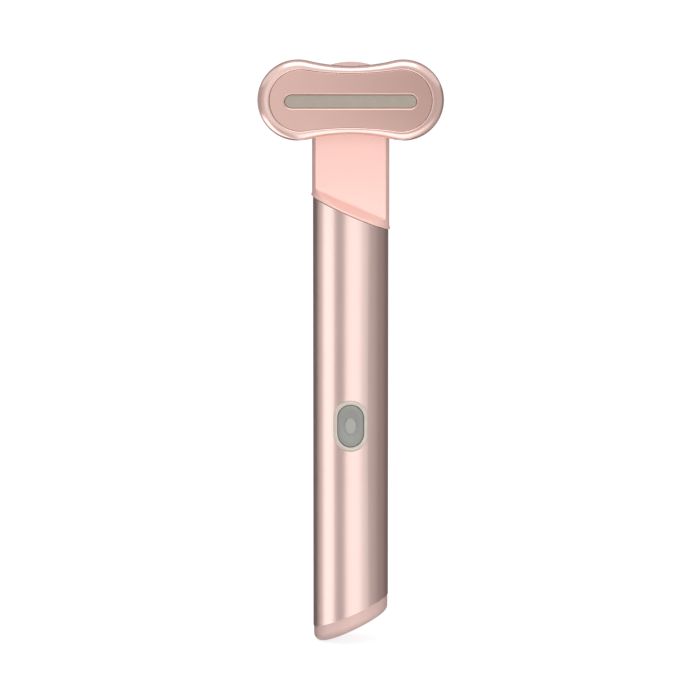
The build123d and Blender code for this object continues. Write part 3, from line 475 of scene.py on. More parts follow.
# ---- button ----
# A soft silicone key sits in a frosted light-guide ring, which the tube's hole frames. The key's nub
# is painted a lighter grey than the rest of the key, and is a little smoother.
SILICONE = (0.245, 0.25, 0.23)
# The lighter grey that the key's nub is painted.
SILICONE_NUB_TONE = (0.36, 0.36, 0.335)
KEY_W = 7.0 * MM
KEY_SOLID_W = 7.3 * MM
KEY_NARROWER = KEY_W / KEY_SOLID_W
RING_W = 9.4 * MM
RING_SOLID_W = 9.14 * MM
RING_WIDER = RING_W / RING_SOLID_W
RING_MID_R = 4.1 * MM
ROUND_ENDS_FROM = 2.2 * MM
NUB_HALF_W = 1.6 * MM
NUB_HALF_H = 2.4 * MM
NUB_GROWTH = 4 / 3
NUB_NEAR = 0.8
FRONT_EDGES_Y = -9.2 * MM
FLAT_ANGLE = math.radians(0.5)
KEY_EDGE_R = 0.3 * MM
RING_EDGE_R = 0.25 * MM
SOFT_STEPS = 3
GUIDE = (0.60, 0.535, 0.47)
GUIDE_DEEP = (0.50, 0.45, 0.395)


def sharp_edges(work):
    """The edges where two faces meet at more than a soft angle."""
    return [edge for edge in work.edges if edge.calc_face_angle(0.0) > SHARP_EDGE]


def soften(work, edges, radius):
    """Rounds edges off to about this radius."""
    bmesh.ops.bevel(
        work, geom=edges, offset=radius, offset_type="OFFSET", affect="EDGES",
        segments=SOFT_STEPS, profile=0.5, material=-1,
    )


def flat_copy(name):
    """A CAD node's mesh with its flat faces whole."""
    work = node_copy(name)
    bmesh.ops.dissolve_limit(work, angle_limit=FLAT_ANGLE, verts=work.verts[:], edges=work.edges[:])
    return work


def from_nub_middle(place):
    """Distance from the nub's middle, 1 at its edge."""
    return math.hypot(place.x / NUB_HALF_W, place.z / NUB_HALF_H)


def front_rim(work):
    """The sharp edges round the front, apart from the nub's."""
    return [
        edge for edge in sharp_edges(work)
        if all(vert.co.y < FRONT_EDGES_Y and from_nub_middle(vert.co) > 1 for vert in edge.verts)
    ]


def shaped_key():
    """The key, a little narrower, with a broader nub and a soft edge."""
    work = flat_copy("button_cap")
    for vert in work.verts:
        if from_nub_middle(vert.co) < NUB_NEAR:
            vert.co.x *= NUB_GROWTH
            vert.co.z *= NUB_GROWTH
        else:
            vert.co.x *= KEY_NARROWER
    soften(work, front_rim(work), KEY_EDGE_R)
    return work


def shaped_ring():
    """The light-guide ring, broader both ways, with soft edges."""
    work = flat_copy("button_bezel")
    for vert in work.verts:
        past_straight = max(abs(vert.co.z) - ROUND_ENDS_FROM, 0)
        inner = math.hypot(vert.co.x, past_straight) < RING_MID_R
        vert.co.x *= KEY_NARROWER if inner else RING_WIDER
    soften(work, front_rim(work), RING_EDGE_R)
    return work


key_finish = Finish("grey_green_silicone", roughness=0.45, Specular_IOR_Level=0.45)
key_skin = key_finish.noise(size=0.4 * MM)
from_nub = ((key_finish.axis(0) / NUB_HALF_W) ** 2.0 + (key_finish.axis(2) / NUB_HALF_H) ** 2.0) ** 0.5
# The nub is painted a lighter grey and made a little smoother than the rest of the key.
on_nub = 1.0 - key_finish.ramp(from_nub + key_skin * 0.15, low=0.75, high=1.15)
key_finish.set(Base_Color=key_finish.blend(on_nub * 0.7 + key_skin * 0.25, SILICONE, SILICONE_NUB_TONE))
key_finish.set(Roughness=0.42 + key_skin * 0.15 - on_nub * 0.08)
key_finish.bump(key_skin, depth=0.006 * MM)
add_piece("soft_key", shaped_key(), key_finish, "button", "grey_green_silicone", "button_cap")

guide_finish = Finish("frosted_light_guide", roughness=0.3, Coat_Weight=0.3, Coat_Roughness=0.15)
guide_cloud = guide_finish.noise(size=1.5 * MM)
guide_finish.set(Base_Color=guide_finish.blend(guide_cloud, GUIDE_DEEP, GUIDE))
guide_finish.set(Roughness=0.25 + guide_cloud * 0.1)
guide_finish.bump(guide_finish.noise(size=0.2 * MM), depth=0.003 * MM)
add_piece("guide_ring", shaped_ring(), guide_finish, "handle", "light_guide", "button_bezel")


# ---- neck ----
# The neck is one pale pink moulding with a soft gloss: a bead round its foot, two flats and a domed
# crown. Its rear cover is moulded in the same resin and snaps in.
PINK = (0.93, 0.60, 0.54)
PINK_DEEP = (0.91, 0.585, 0.525)
NECK_R = 10.48 * MM
NECK_HALF_T = 4.5 * MM
NECK_LIP = 2.75 * MM
LEDGE_FALL = math.radians(17)
BLEND_R = 0.9 * MM
CROWN_Z = 98.15 * MM
CROWN_R = 19.5 * MM
CROWN_CORNER_R = 3.5 * MM
FLAT_EDGE_R = 0.3 * MM
BEAD_R = 10.72 * MM
BEAD_H = 0.9 * MM
BEAD_EDGE_R = 0.3 * MM
SEAM_GAP = 0.22 * MM
SPIGOT_R = 9.2 * MM
SPIGOT_DROP = 11.6 * MM
SPINDLE_HOLE_R = 4.05 * MM
NECK_WALL = 1.8 * MM
COVER_FIT = 0.05 * MM
COVER_LEDGE = 0.8 * MM
FAR = 45 * MM
ROUND_STEPS = 128
ARC_STEPS = 8


def last_vert(spun):
    """The vertex that a spin ended on."""
    return [made for made in spun["geom_last"] if isinstance(made, bmesh.types.BMVert)]


def combined(operation, work, *others):
    """A closed mesh after a Boolean with each of the others."""
    for other in others:
        pair = []
        for shape in (work, other):
            mesh = bpy.data.meshes.new("operand")
            shape.to_mesh(mesh)
            shape.free()
            pair.append(bpy.data.objects.new("operand", mesh))
            bpy.context.scene.collection.objects.link(pair[-1])
        boolean = pair[0].modifiers.new("boolean", "BOOLEAN")
        boolean.operation = operation
        boolean.object = pair[1]
        work = bmesh.new()
        work.from_object(pair[0], bpy.context.evaluated_depsgraph_get())
        for operand in pair:
            bpy.data.meshes.remove(operand.data)
        bmesh.ops.remove_doubles(work, verts=work.verts, dist=MERGE)
    return work


def trim(work, point, normal):
    """Cuts off what lies behind a plane and closes the cut."""
    geometry = [*work.verts, *work.edges, *work.faces]
    bmesh.ops.bisect_plane(work, geom=geometry, plane_co=point, plane_no=normal, clear_inner=True)
    bmesh.ops.holes_fill(work, edges=[edge for edge in work.edges if edge.is_boundary])


def domed_bar():
    """A round bar, spun from a profile with a domed crown and a rolled shoulder, cut off at the seam."""
    work = bmesh.new()
    dome_z = CROWN_Z - CROWN_R
    corner_x = NECK_R - CROWN_CORNER_R
    rise = math.sqrt((CROWN_R - CROWN_CORNER_R) ** 2 - corner_x**2)
    lean = math.atan2(corner_x, rise)
    tip = [work.verts.new((0, 0, CROWN_Z))]
    for centre, turn in (((0, 0, dome_z), lean), ((corner_x, 0, dome_z + rise), math.pi / 2 - lean)):
        spun = bmesh.ops.spin(work, geom=tip, axis=(0, 1, 0), cent=centre, angle=turn, steps=ARC_STEPS)
        tip = last_vert(spun)
    foot = [work.verts.new((x, 0, TUBE_TOP - NECK_R)) for x in (NECK_R, 0)]
    work.edges.new((*tip, foot[0]))
    work.edges.new(foot)
    profile = [*work.verts, *work.edges]
    bmesh.ops.spin(
        work, geom=profile, axis=(0, 0, 1), cent=(0, 0, 0), angle=2 * math.pi, steps=ROUND_STEPS,
    )
    bmesh.ops.remove_doubles(work, verts=work.verts, dist=MERGE)
    trim(work, (0, 0, TUBE_TOP + SEAM_GAP), (SLANT, 0, 1))
    return work


def round_bar(radius, low_z, high_z, steps=ROUND_STEPS):
    """A round bar on the handle's axis."""
    work = bmesh.new()
    bmesh.ops.create_cone(
        work, cap_ends=True, segments=steps, radius1=radius, radius2=radius, depth=high_z - low_z,
    )
    bmesh.ops.translate(work, verts=work.verts, vec=(0, 0, (low_z + high_z) / 2))
    return work


def foot_bead():
    """A slanted disc with softened edges."""
    work = round_bar(BEAD_R, 0, 2 * TUBE_TOP)
    trim(work, (0, 0, TUBE_TOP + SEAM_GAP), (SLANT, 0, 1))
    trim(work, (0, 0, TUBE_TOP + BEAD_H), (-SLANT, 0, -1))
    soften(work, sharp_edges(work), BEAD_EDGE_R)
    return work


def spigot():
    """The plug below the neck, which fills the top of the tube."""
    work = round_bar(SPIGOT_R, TUBE_TOP - SPIGOT_DROP, 2 * TUBE_TOP)
    trim(work, (0, 0, TUBE_TOP + BEAD_H), (-SLANT, 0, -1))
    return work


def flat_cutter(side):
    """What lies ahead of a flat and above the ledge at its foot, which falls away from the flat."""
    work = bmesh.new()
    out = Vector((0, side, 0))
    up = Vector((SLANT, 0, 1)).normalized()
    along = out.cross(up)
    foot = Vector((0, 0, TUBE_TOP + NECK_LIP)) - along * FAR
    blend_up = BLEND_R / math.cos(LEDGE_FALL) - BLEND_R * math.tan(LEDGE_FALL)
    blend = foot + out * (NECK_HALF_T + BLEND_R) + up * blend_up
    start = work.verts.new(blend - out * BLEND_R)
    spun = bmesh.ops.spin(
        work, geom=[start], axis=along, cent=blend, angle=math.pi / 2 - LEDGE_FALL, steps=ARC_STEPS,
    )
    chain = [start, *last_vert(spun)]
    far_corners = (
        (NECK_HALF_T + NECK_R, -NECK_R * math.tan(LEDGE_FALL)),
        (NECK_HALF_T + NECK_R, FAR), (NECK_HALF_T, FAR),
    )
    ring = [chain[1], *(work.verts.new(foot + out * u + up * v) for u, v in far_corners), start]
    for pair in zip(ring, ring[1:]):
        work.edges.new(pair)
    bmesh.ops.contextual_create(work, geom=work.edges[:])
    swept = bmesh.ops.extrude_face_region(work, geom=work.faces[:])
    moved = [made for made in swept["geom"] if isinstance(made, bmesh.types.BMVert)]
    bmesh.ops.translate(work, verts=moved, vec=along * 2 * FAR)
    bmesh.ops.recalc_face_normals(work, faces=work.faces)
    return work


def rear_cover_form(grow, front_y, back_y):
    """The rear cover's outline, grown all round, with its thickness from front_y to back_y."""
    low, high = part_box("neck_rear_cover")
    middle = (low + high) / 2
    size = high - low
    work = node_copy("neck_rear_cover")
    scale = (1 + 2 * grow / size.x, (back_y - front_y) / size.y, 1 + 2 * grow / size.z)
    bmesh.ops.scale(work, verts=work.verts, vec=scale, space=Matrix.Translation(-middle))
    bmesh.ops.translate(work, verts=work.verts, vec=(0, (front_y + back_y) / 2 - middle.y, 0))
    return work


def spindle_bore(front_y, back_y):
    """A round bar on the swivel's axis, as wide as the hole that the spindle needs."""
    work = round_bar(SPINDLE_HOLE_R, -back_y, -front_y, ROUND_STEPS // 2)
    bmesh.ops.rotate(work, verts=work.verts, matrix=Matrix.Rotation(math.pi / 2, 3, "X"))
    low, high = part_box("retaining_ring")
    bmesh.ops.translate(work, verts=work.verts, vec=(0, 0, (low.z + high.z) / 2))
    return work


def neck_form():
    """The housing: a bar with two flats, on its bead and spigot, hollowed and bored."""
    work = combined("DIFFERENCE", domed_bar(), flat_cutter(-1), flat_cutter(1))
    straight_from = TUBE_TOP + NECK_LIP + NECK_R * SLANT + BLEND_R
    on_flat = {
        vert for vert in work.verts
        if abs(abs(vert.co.y) - NECK_HALF_T) < MERGE and vert.co.z > straight_from
    }
    soften(work, [edge for edge in sharp_edges(work) if on_flat.issuperset(edge.verts)], FLAT_EDGE_R)
    inner_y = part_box("neck_rear_cover")[0].y
    return combined(
        "DIFFERENCE", combined("UNION", work, foot_bead(), spigot()),
        rear_cover_form(COVER_FIT, inner_y, 2 * NECK_HALF_T),
        rear_cover_form(-COVER_LEDGE, NECK_WALL - NECK_HALF_T, NECK_HALF_T),
        spindle_bore(-2 * NECK_HALF_T, 0),
    )


neck_finish = Finish("pink_moulding", roughness=0.35)
neck_cloud = neck_finish.noise(size=9 * MM)
neck_grain = neck_finish.noise(size=0.3 * MM)
neck_finish.set(Base_Color=neck_finish.blend(neck_cloud, PINK_DEEP, PINK))
neck_finish.set(Roughness=0.3 + neck_grain * 0.1)
neck_finish.bump(neck_grain, depth=0.003 * MM)
dress(neck_finish, "neck_rear_cover")
add_piece("moulded_neck", neck_form(), neck_finish, "handle", "pink_moulding", "neck_housing")


# ---- wires through the neck ----
# Four silicone-covered wires run from the head through the hollow spindle and down to the board, laid
# up in one bundle.
LAY_PITCH = 6 * MM
WIRE_EDGE = 0.06 * MM
WIRE_GROOVE_HALF = 0.25 * MM


def laid_wires():
    finish = Finish("laid_up_wires", roughness=0.5)
    skin = finish.noise(size=0.4 * MM)
    lay = (finish.axis(2) + finish.axis(0) * 2.0 + finish.axis(1)).cycle(LAY_PITCH)
    quarter = LAY_PITCH / 4
    red = finish.ramp(lay, quarter - WIRE_EDGE, quarter + WIRE_EDGE)
    groove = 1.0 - finish.ramp(abs(lay - quarter), 0.0, WIRE_GROOVE_HALF)
    finish.set(Base_Color=finish.blend(red, LEAD_BLACK, LEAD_RED))
    finish.set(Roughness=0.4 + skin * 0.15)
    finish.bump(skin * 0.1 - groove, depth=0.12 * MM)
    return finish


dress(laid_wires(), "neck_wires", "head_wires")


# ---- head shells ----
# The head's front rim and back cover are moulded, then vacuum-plated rose gold and polished. The rim's
# nose is a soft roll, broad at the lobes and narrow at the waist, which falls to the plate inside it.
PLATED = (0.80, 0.585, 0.535)
PLATED_DEEP = (0.74, 0.52, 0.475)
RIM_LOW, RIM_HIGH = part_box("head_rim")
COVER_BACK_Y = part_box("head_back_cover")[1].y
PLATE_LOW, PLATE_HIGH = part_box("contact_plate")
HEAD_Z = 88.75 * MM
# A bone outline: its lobes' radius, how far out their middles lie, and half its height at the waist.
HEAD_LOBE = (11.2 * MM, 14.1 * MM, 9.5 * MM)
PLATE_LOBE = (8.3 * MM, 13.55 * MM, 7.3 * MM)
HEAD_T = 8.5 * MM
SIDE_DRAFT = math.tan(math.radians(8))
NOSE_DEPTH = 2.0 * MM
NOSE_FALL = 0.25 * MM
NOSE_STEPS = 8
FACE_LEAN = 0.04 * MM
CREST_SHARE = 0.8
SHELF_W = 1.6 * MM
SHELF_T = 1.2 * MM
RIM_WALL = 2.0 * MM
COVER_WALL = 3.0 * MM
COVER_FLOOR = 1.6 * MM
BACK_R = 2.0 * MM
PARTING_EDGE = 0.15 * MM
LOBE_STEPS = 48
WAIST_STEPS = 24


def part_way(share, first, second):
    """A bone outline part of the way from one to another."""
    return tuple(a + (b - a) * share for a, b in zip(first, second))


def inside(outline, inset):
    """A bone outline drawn in evenly all round."""
    lobe_r, lobe_x, waist = outline
    return lobe_r - inset, lobe_x, waist - inset


def bone_line(work, outline, y):
    """A closed line of two lobes and a concave waist, spun arc by arc from one corner."""
    lobe_r, lobe_x, waist = outline
    waist_r = (lobe_x**2 + waist**2 - lobe_r**2) / (2 * (lobe_r - waist))
    reach = waist_r + waist
    lean = math.atan2(reach, lobe_x)
    older = set(work.edges)
    corner = work.verts.new((lobe_x - lobe_r * math.cos(lean), y, HEAD_Z - lobe_r * math.sin(lean)))
    round_lobe = 2 * (math.pi - lean)
    round_waist = 2 * lean - math.pi
    tip = [corner]
    for x, z, turn, steps in (
        (lobe_x, 0, round_lobe, LOBE_STEPS), (0, reach, round_waist, WAIST_STEPS),
        (-lobe_x, 0, round_lobe, LOBE_STEPS), (0, -reach, round_waist, WAIST_STEPS),
    ):
        middle = (x, y, HEAD_Z + z)
        spun = bmesh.ops.spin(
            work, geom=tip, axis=(0, -1, 0), cent=middle, angle=turn, steps=steps,
        )
        tip = last_vert(spun)
    bmesh.ops.remove_doubles(work, verts=[corner, *tip], dist=MERGE)
    return [edge for edge in work.edges if edge not in older]


def joined(work, loops):
    """Walls from each closed line to the next."""
    for loop, following in zip(loops, loops[1:]):
        bmesh.ops.bridge_loops(work, edges=[*loop, *following])


def rolled_band(lines):
    """A closed band with one bone line after another as its profile."""
    work = bmesh.new()
    loops = [bone_line(work, outline, y) for outline, y in lines]
    joined(work, [*loops, loops[0]])
    return work


def rim_profile():
    """The rim's outlines, from the parting line up its side, over its nose and down to its shelf."""
    top_y = PLATE_LOW.y
    split_y = RIM_HIGH.y
    depth = split_y - RIM_LOW.y
    crest = part_way(CREST_SHARE, HEAD_LOBE, PLATE_LOBE)
    side = inside(HEAD_LOBE, NOSE_DEPTH * SIDE_DRAFT)
    lines = [(inside(HEAD_LOBE, depth * SIDE_DRAFT + PARTING_EDGE), split_y)]
    lines.append((inside(HEAD_LOBE, (depth - PARTING_EDGE) * SIDE_DRAFT), split_y - PARTING_EDGE))
    for step in range(NOSE_STEPS + 1):
        turn = math.pi / 2 * step / NOSE_STEPS
        y = top_y + NOSE_DEPTH * (1 - math.sin(turn))
        lines.append((part_way(1 - math.cos(turn), side, crest), y))
    for step in range(2, NOSE_STEPS + 1):
        turn = math.pi / 2 * step / NOSE_STEPS
        y = top_y + NOSE_FALL * (1 - math.cos(turn))
        lines.append((part_way(math.sin(turn), crest, PLATE_LOBE), y))
    shelf = inside(PLATE_LOBE, SHELF_W)
    shelf_back = PLATE_HIGH.y + SHELF_T
    lines.append((PLATE_LOBE, PLATE_HIGH.y))
    lines.append((shelf, PLATE_HIGH.y + FACE_LEAN))
    lines.append((shelf, shelf_back))
    lines.append((inside(HEAD_LOBE, RIM_WALL), shelf_back + FACE_LEAN))
    lines.append((inside(HEAD_LOBE, RIM_WALL), split_y - FACE_LEAN))
    return lines


def back_cover_form():
    """The back cover: a cup whose sides draw in to a rolled edge round its back."""
    work = bmesh.new()
    split_y = RIM_HIGH.y
    split_inset = (split_y - RIM_LOW.y) * SIDE_DRAFT
    cup = inside(HEAD_LOBE, COVER_WALL)
    side = inside(HEAD_LOBE, (HEAD_T - BACK_R) * SIDE_DRAFT)
    back = inside(HEAD_LOBE, HEAD_T * SIDE_DRAFT + BACK_R)
    lines = [(cup, COVER_BACK_Y - COVER_FLOOR), (cup, split_y + FACE_LEAN)]
    lines.append((inside(HEAD_LOBE, split_inset + PARTING_EDGE), split_y))
    lines.append((inside(HEAD_LOBE, split_inset), split_y + PARTING_EDGE))
    for step in range(NOSE_STEPS):
        turn = math.pi / 2 * step / (NOSE_STEPS - 1)
        y = COVER_BACK_Y - BACK_R * (1 - math.sin(turn))
        lines.append((part_way(1 - math.cos(turn), side, back), y))
    loops = [bone_line(work, outline, y) for outline, y in lines]
    joined(work, loops)
    for edges in (loops[0], loops[-1]):
        bmesh.ops.contextual_create(work, geom=edges)
    return work


rim_finish = Finish("polished_rose", metallic=1.0, Coat_Weight=0.4, Coat_Roughness=0.08)
rim_cloud = rim_finish.noise(size=7 * MM)
rim_finish.set(Base_Color=rim_finish.blend(rim_cloud, PLATED_DEEP, PLATED))
rim_finish.set(Roughness=0.24 + rim_cloud * 0.06)
rim_finish.bump(rim_finish.noise(size=1.2 * MM), depth=0.002 * MM)
add_piece("rolled_rim", rolled_band(rim_profile()), rim_finish, "head", "polished_rose", "head_rim")
add_piece("back_cover", back_cover_form(), rim_finish, "head", "polished_rose", "head_back_cover")


# ---- contact plate ----
# The plate that warms the skin is stamped aluminium, satin-finished and anodised, and it rests on a
# shelf inside the rim. Its slot has a rolled edge round the light window.
SATIN_ROSE = (0.68, 0.46, 0.407)
SATIN_ROSE_DEEP = (0.63, 0.42, 0.37)
PLATE_FIT = 0.05 * MM
PLATE_EDGE_R = 0.15 * MM
SLOT_EDGE_R = 0.6 * MM
EDGE_STEPS = 4
SLOT_STEPS = 16
WINDOW_DROP = 0.25 * MM
WINDOW_Z = HEAD_Z - WINDOW_DROP
WINDOW_HALF = (17.6 * MM, 1.7 * MM)


def slot_line(work, grow, y):
    """A closed line of two half-rounds and two straights, as far outside the window as grow."""
    older = set(work.edges)
    half_w, half_h = (half + grow for half in WINDOW_HALF)
    runs = []
    for side in (1, -1):
        middle = (side * (half_w - half_h), y, WINDOW_Z)
        start = work.verts.new((middle[0], y, WINDOW_Z - side * half_h))
        spun = bmesh.ops.spin(
            work, geom=[start], axis=(0, -1, 0), cent=middle, angle=math.pi, steps=SLOT_STEPS,
        )
        runs.append((start, *last_vert(spun)))
    work.edges.new((runs[0][1], runs[1][0]))
    work.edges.new((runs[1][1], runs[0][0]))
    return [edge for edge in work.edges if edge not in older]


def quarter_round(radius):
    """How far in and how far down the points of a rounded edge lie, from its top."""
    for step in range(EDGE_STEPS + 1):
        turn = math.pi / 2 * step / EDGE_STEPS
        yield radius * (1 - math.sin(turn)), radius * (1 - math.cos(turn))


def plate_form():
    """The plate, with a rounded edge all round and a slot whose edge is rolled."""
    work = bmesh.new()
    front, back = PLATE_LOW.y, PLATE_HIGH.y
    outer = inside(PLATE_LOBE, PLATE_FIT)
    sides = []
    for inset, drop in quarter_round(PLATE_EDGE_R):
        sides.append(bone_line(work, inside(outer, inset), front + drop))
    sides.append(bone_line(work, outer, back))
    slots = []
    for inset, drop in quarter_round(SLOT_EDGE_R):
        slots.append(slot_line(work, PLATE_FIT + inset, front + drop))
    slots.append(slot_line(work, PLATE_FIT, back))
    joined(work, sides)
    joined(work, slots)
    for index in (0, -1):
        bmesh.ops.triangle_fill(work, use_beauty=True, edges=[*sides[index], *slots[index]])
    return work


plate_finish = Finish("satin_rose_plate", metallic=1.0)
plate_grain = plate_finish.noise(size=0.2 * MM)
plate_cloud = plate_finish.noise(size=11 * MM)
plate_finish.set(Base_Color=plate_finish.blend(plate_cloud, SATIN_ROSE_DEEP, SATIN_ROSE))
plate_finish.set(Roughness=0.34 + plate_grain * 0.08)
plate_finish.bump(plate_grain, depth=0.004 * MM)
add_piece("stamped_plate", plate_form(), plate_finish, "head", "satin_rose_plate", "contact_plate")


# ---- heater ----
# A polyimide film heater is stuck to the plate's back, and its etched copper track shows through the
# amber film. The foam pad behind it presses it flat.
AMBER = (0.58, 0.27, 0.05)
AMBER_DEEP = (0.46, 0.20, 0.03)
COPPER_TRACK = (0.70, 0.42, 0.27)
HEATER_PITCH = 1.3 * MM


def etched_film():
    finish = Finish("polyimide_film", roughness=0.25, Coat_Weight=0.5, Coat_Roughness=0.1)
    from_track = finish.axis(0).cycle(HEATER_PITCH)
    track = 1.0 - finish.ramp(from_track, low=0.2 * MM, high=0.28 * MM)
    cloud = finish.noise(size=1.5 * MM)
    film = finish.blend(cloud, AMBER_DEEP, AMBER)
    finish.set(Base_Color=finish.blend(track * 0.75, film, COPPER_TRACK))
    finish.set(Roughness=0.2 + cloud * 0.12)
    finish.bump(track, depth=0.015 * MM)
    return finish


dress(etched_film(), "heater_film")


# ---- light window ----
# The window is an opal diffuser that clips in behind the plate's slot, a warm grey while the lamps
# behind it are off.
OPAL = (0.365, 0.31, 0.257)
OPAL_DEEP = (0.315, 0.27, 0.223)
WINDOW_RECESS = 0.4 * MM
FLANGE_W = 1.1 * MM
FLANGE_T = 0.9 * MM


def window_form():
    """A pane that fills the plate's slot, on a flange behind the plate."""
    work = bmesh.new()
    seat = PLATE_HIGH.y
    lines = (
        (0, PLATE_LOW.y + WINDOW_RECESS), (0, seat),
        (FLANGE_W, seat + FACE_LEAN), (FLANGE_W, seat + FLANGE_T),
    )
    loops = [slot_line(work, grow, y) for grow, y in lines]
    joined(work, loops)
    for edges in (loops[0], loops[-1]):
        bmesh.ops.contextual_create(work, geom=edges)
    return work


window_finish = Finish("opal_diffuser", roughness=0.35, Coat_Weight=0.2, Coat_Roughness=0.2)
window_cloud = window_finish.noise(size=2 * MM)
window_finish.set(Base_Color=window_finish.blend(window_cloud, OPAL_DEEP, OPAL))
window_finish.set(Roughness=0.3 + window_cloud * 0.1)
window_finish.bump(window_finish.noise(size=0.15 * MM), depth=0.003 * MM)
add_piece("opal_window", window_form(), window_finish, "head", "diffuser", "light_window")


# ---- studio ----
# A pale floor, a white surround, three soft lamps and a ring of reflecting cards round the object. The
# cards are seen only in reflections, so a metal surface shows soft bands and nothing else changes.
FLOOR_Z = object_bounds()[0].z
FLOOR_HALF = 8.0
FLOOR_GLOW = 0.80
FLOOR_PAPER = (0.42, 0.42, 0.42)
SKY_ON_OBJECT = 0.60
WHITE_PAPER = Vector((1.0, 1.0, 1.0))
DIM_PAPER = Vector((1.0, 0.80, 0.79))
SEEING_RAYS = ("Is Camera Ray", "Is Glossy Ray", "Is Transmission Ray")
CARD_RADIUS = 62 * MM
CARD_STEPS = 24
CARD_FOOT = -90 * MM
HEAD_CARD_FOOT = 66 * MM
HEAD_CARD_TOP = 104 * MM
CREST_CARD_TOP = 190 * MM
# Each upright card reaches from one bearing to another, in degrees from the front, and has a level.
TUBE_CARDS = (
    (-165, -112, 0.17), (-112, -88, 0.8), (-88, -49, 1.92), (-49, -16, 0.70), (-16, 30, 1.76),
    (30, 52, 1.2), (52, 80, 0.70), (80, 115, 0.46), (115, 165, 0.24), (165, 195, 1.0),
)
HEAD_CARDS = (
    (-165, -112, 0.25), (-112, -60, 0.55), (-60, -40, 0.75), (-40, -12, 1.08), (-12, 0, 0.94),
    (0, 12, 0.8), (12, 40, 0.64), (40, 80, 0.7), (80, 165, 0.3), (165, 195, 1.0),
)
CREST_CARDS = ((95, 265, 0.4),)
# Each level card over the head reaches from one y to another.
TOP_CARDS = ((-170 * MM, -30 * MM, 2.35), (-30 * MM, 60 * MM, 0.7))
# A lamp's bearing and height in degrees, its distance and width in metres, and its power in watts.
SOFTBOXES = (
    ("front_softbox", 8, 9, 0.9, 0.7, 2.4),
    ("low_softbox", 4, -2, 0.5, 0.12, 0.84),
    ("high_softbox", -20, 66, 0.9, 0.4, 1.5),
)


class Paper(Nodes):
    """One of the studio's own materials."""

    def __init__(self, name):
        self.material = bpy.data.materials.new(name)
        self.material.use_nodes = True
        super().__init__(self.material.node_tree)
        self.tree.nodes.clear()
        self.surface = self.tree.nodes.new("ShaderNodeOutputMaterial").inputs["Surface"]

    def glow(self, colour, strength):
        return self.node("ShaderNodeEmission", {}, {"Color": colour, "Strength": strength})


def seen(nodes):
    """1 for a ray that shows something to the viewer, straight, off metal or through glass, else 0."""
    straight, mirrored, through = (nodes.node("ShaderNodeLightPath", {}, {}, ray) for ray in SEEING_RAYS)
    return straight.greater(mirrored).greater(through)


def card_paper(name, level):
    """Paper that glows evenly, rose where it is dim."""
    paper = Paper(name)
    paper.feed(paper.surface, paper.glow(DIM_PAPER.lerp(WHITE_PAPER, min(level, 1.0)), level))
    return paper.material


def floor_paper():
    """Pale paper that takes shadows, and glows only to rays that see it."""
    paper = Paper("floor_paper")
    glow = paper.glow(WHITE_PAPER, seen(paper) * FLOOR_GLOW)
    lit = paper.node("ShaderNodeBsdfDiffuse", {}, {"Color": FLOOR_PAPER})
    paper.feed(paper.surface, paper.node("ShaderNodeAddShader", {}, {0: glow, 1: lit}))
    return paper.material


def stage_piece(name, work, material):
    """Puts a finished mesh in the scene as part of the studio."""
    mesh = bpy.data.meshes.new(name)
    work.to_mesh(mesh)
    work.free()
    mesh.materials.append(material)
    made = bpy.data.objects.new(name, mesh)
    bpy.context.scene.collection.objects.link(made)
    return made


def floor_sheet():
    """The floor under the lowest point of the object."""
    work = bmesh.new()
    bmesh.ops.create_grid(work, x_segments=1, y_segments=1, size=FLOOR_HALF)
    bmesh.ops.translate(work, verts=work.verts, vec=(0, 0, FLOOR_Z))
    floor = stage_piece("floor", work, floor_paper())
    floor.visible_glossy = False


def hang_card(name, work, level):
    """Puts up a card that shows in nothing but reflections."""
    made = stage_piece(name, work, card_paper(name, level))
    made.visible_camera = False
    made.visible_diffuse = False
    made.visible_transmission = False
    made.visible_shadow = False


def upright_card(name, foot, top, from_deg, to_deg, level):
    """An arc of card round the object."""
    work = bmesh.new()
    turn = math.radians(from_deg)
    start = Vector((math.sin(turn), -math.cos(turn), 0)) * CARD_RADIUS
    ends = [work.verts.new(start + Vector((0, 0, z))) for z in (foot, top)]
    edge = work.edges.new(ends)
    bmesh.ops.spin(
        work, geom=[*ends, edge], axis=(0, 0, 1), cent=(0, 0, 0),
        angle=math.radians(to_deg - from_deg), steps=CARD_STEPS,
    )
    hang_card(name, work, level)


def top_card(name, from_y, to_y, level):
    """A level card over the head, which the upper side of the rim reflects."""
    work = bmesh.new()
    half = (to_y - from_y) / 2
    bmesh.ops.create_grid(work, x_segments=1, y_segments=1, size=half)
    bmesh.ops.scale(work, verts=work.verts, vec=(CARD_RADIUS / half, 1, 1))
    bmesh.ops.translate(work, verts=work.verts, vec=(0, from_y + half, CREST_CARD_TOP))
    hang_card(name, work, level)


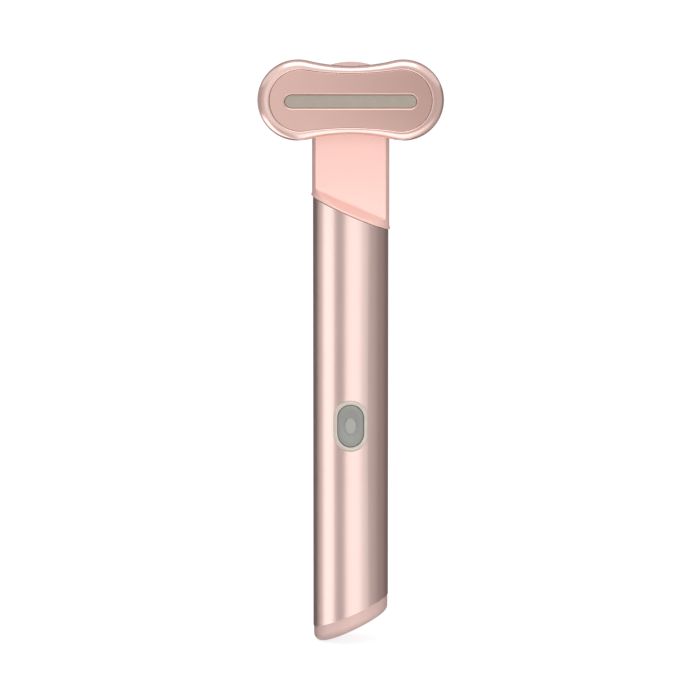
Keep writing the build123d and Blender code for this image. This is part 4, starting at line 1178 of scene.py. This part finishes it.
def studio_sky():
    """White to whatever sees it, and softer on the object."""
    world = bpy.data.worlds.new("studio")
    bpy.context.scene.world = world
    world.use_nodes = True
    nodes = Nodes(world.node_tree)
    sky = nodes.tree.nodes["Background"]
    nodes.feed(sky.inputs["Color"], WHITE_PAPER)
    nodes.feed(sky.inputs["Strength"], seen(nodes) * (1.0 - SKY_ON_OBJECT) + SKY_ON_OBJECT)


def softbox(name, bearing, height, distance, width, power):
    """A square lamp that looks at the middle of the object."""
    data = bpy.data.lights.new(name, "AREA")
    data.shape = "SQUARE"
    data.size = width
    data.energy = power
    made = bpy.data.objects.new(name, data)
    turn = math.radians(bearing)
    rise = math.radians(height)
    middle = (cad_low + cad_high) / 2
    away = Vector((math.sin(turn) * math.cos(rise), -math.cos(turn) * math.cos(rise), math.sin(rise)))
    made.location = middle + away * distance
    made.rotation_euler = away.to_track_quat("Z", "Y").to_euler()
    made.visible_camera = False
    made.visible_glossy = False
    bpy.context.scene.collection.objects.link(made)


floor_sheet()
for kind, cards, foot, top in (
    ("tube_card", TUBE_CARDS, CARD_FOOT, HEAD_CARD_FOOT),
    ("head_card", HEAD_CARDS, HEAD_CARD_FOOT, HEAD_CARD_TOP),
    ("crest_card", CREST_CARDS, HEAD_CARD_TOP, CREST_CARD_TOP),
):
    for index, card in enumerate(cards):
        upright_card(f"{kind}_{index}", foot, top, *card)
for index, card in enumerate(TOP_CARDS):
    top_card(f"top_card_{index}", *card)
studio_sky()
for box in SOFTBOXES:
    softbox(*box)


# ---- camera ----
# A long lens far off, so that upright edges stay nearly parallel. It looks at the object's middle from
# a little above.
VIEW_DISTANCE = 1.2
VIEW_ELEVATION = math.radians(8)
VIEW_CENTRE = Vector((-0.19 * MM, 0, 19.45 * MM))
VIEW_LENS = 226.1

camera_data = bpy.data.cameras.new("camera")
camera_data.lens = VIEW_LENS
camera = bpy.data.objects.new("camera", camera_data)
away = Vector((0, -math.cos(VIEW_ELEVATION), math.sin(VIEW_ELEVATION)))
camera.location = VIEW_CENTRE + away * VIEW_DISTANCE
camera.rotation_euler = away.to_track_quat("Z", "Y").to_euler()
bpy.context.scene.collection.objects.link(camera)
bpy.context.scene.camera = camera
bpy.context.scene.view_settings.view_transform = "Standard"
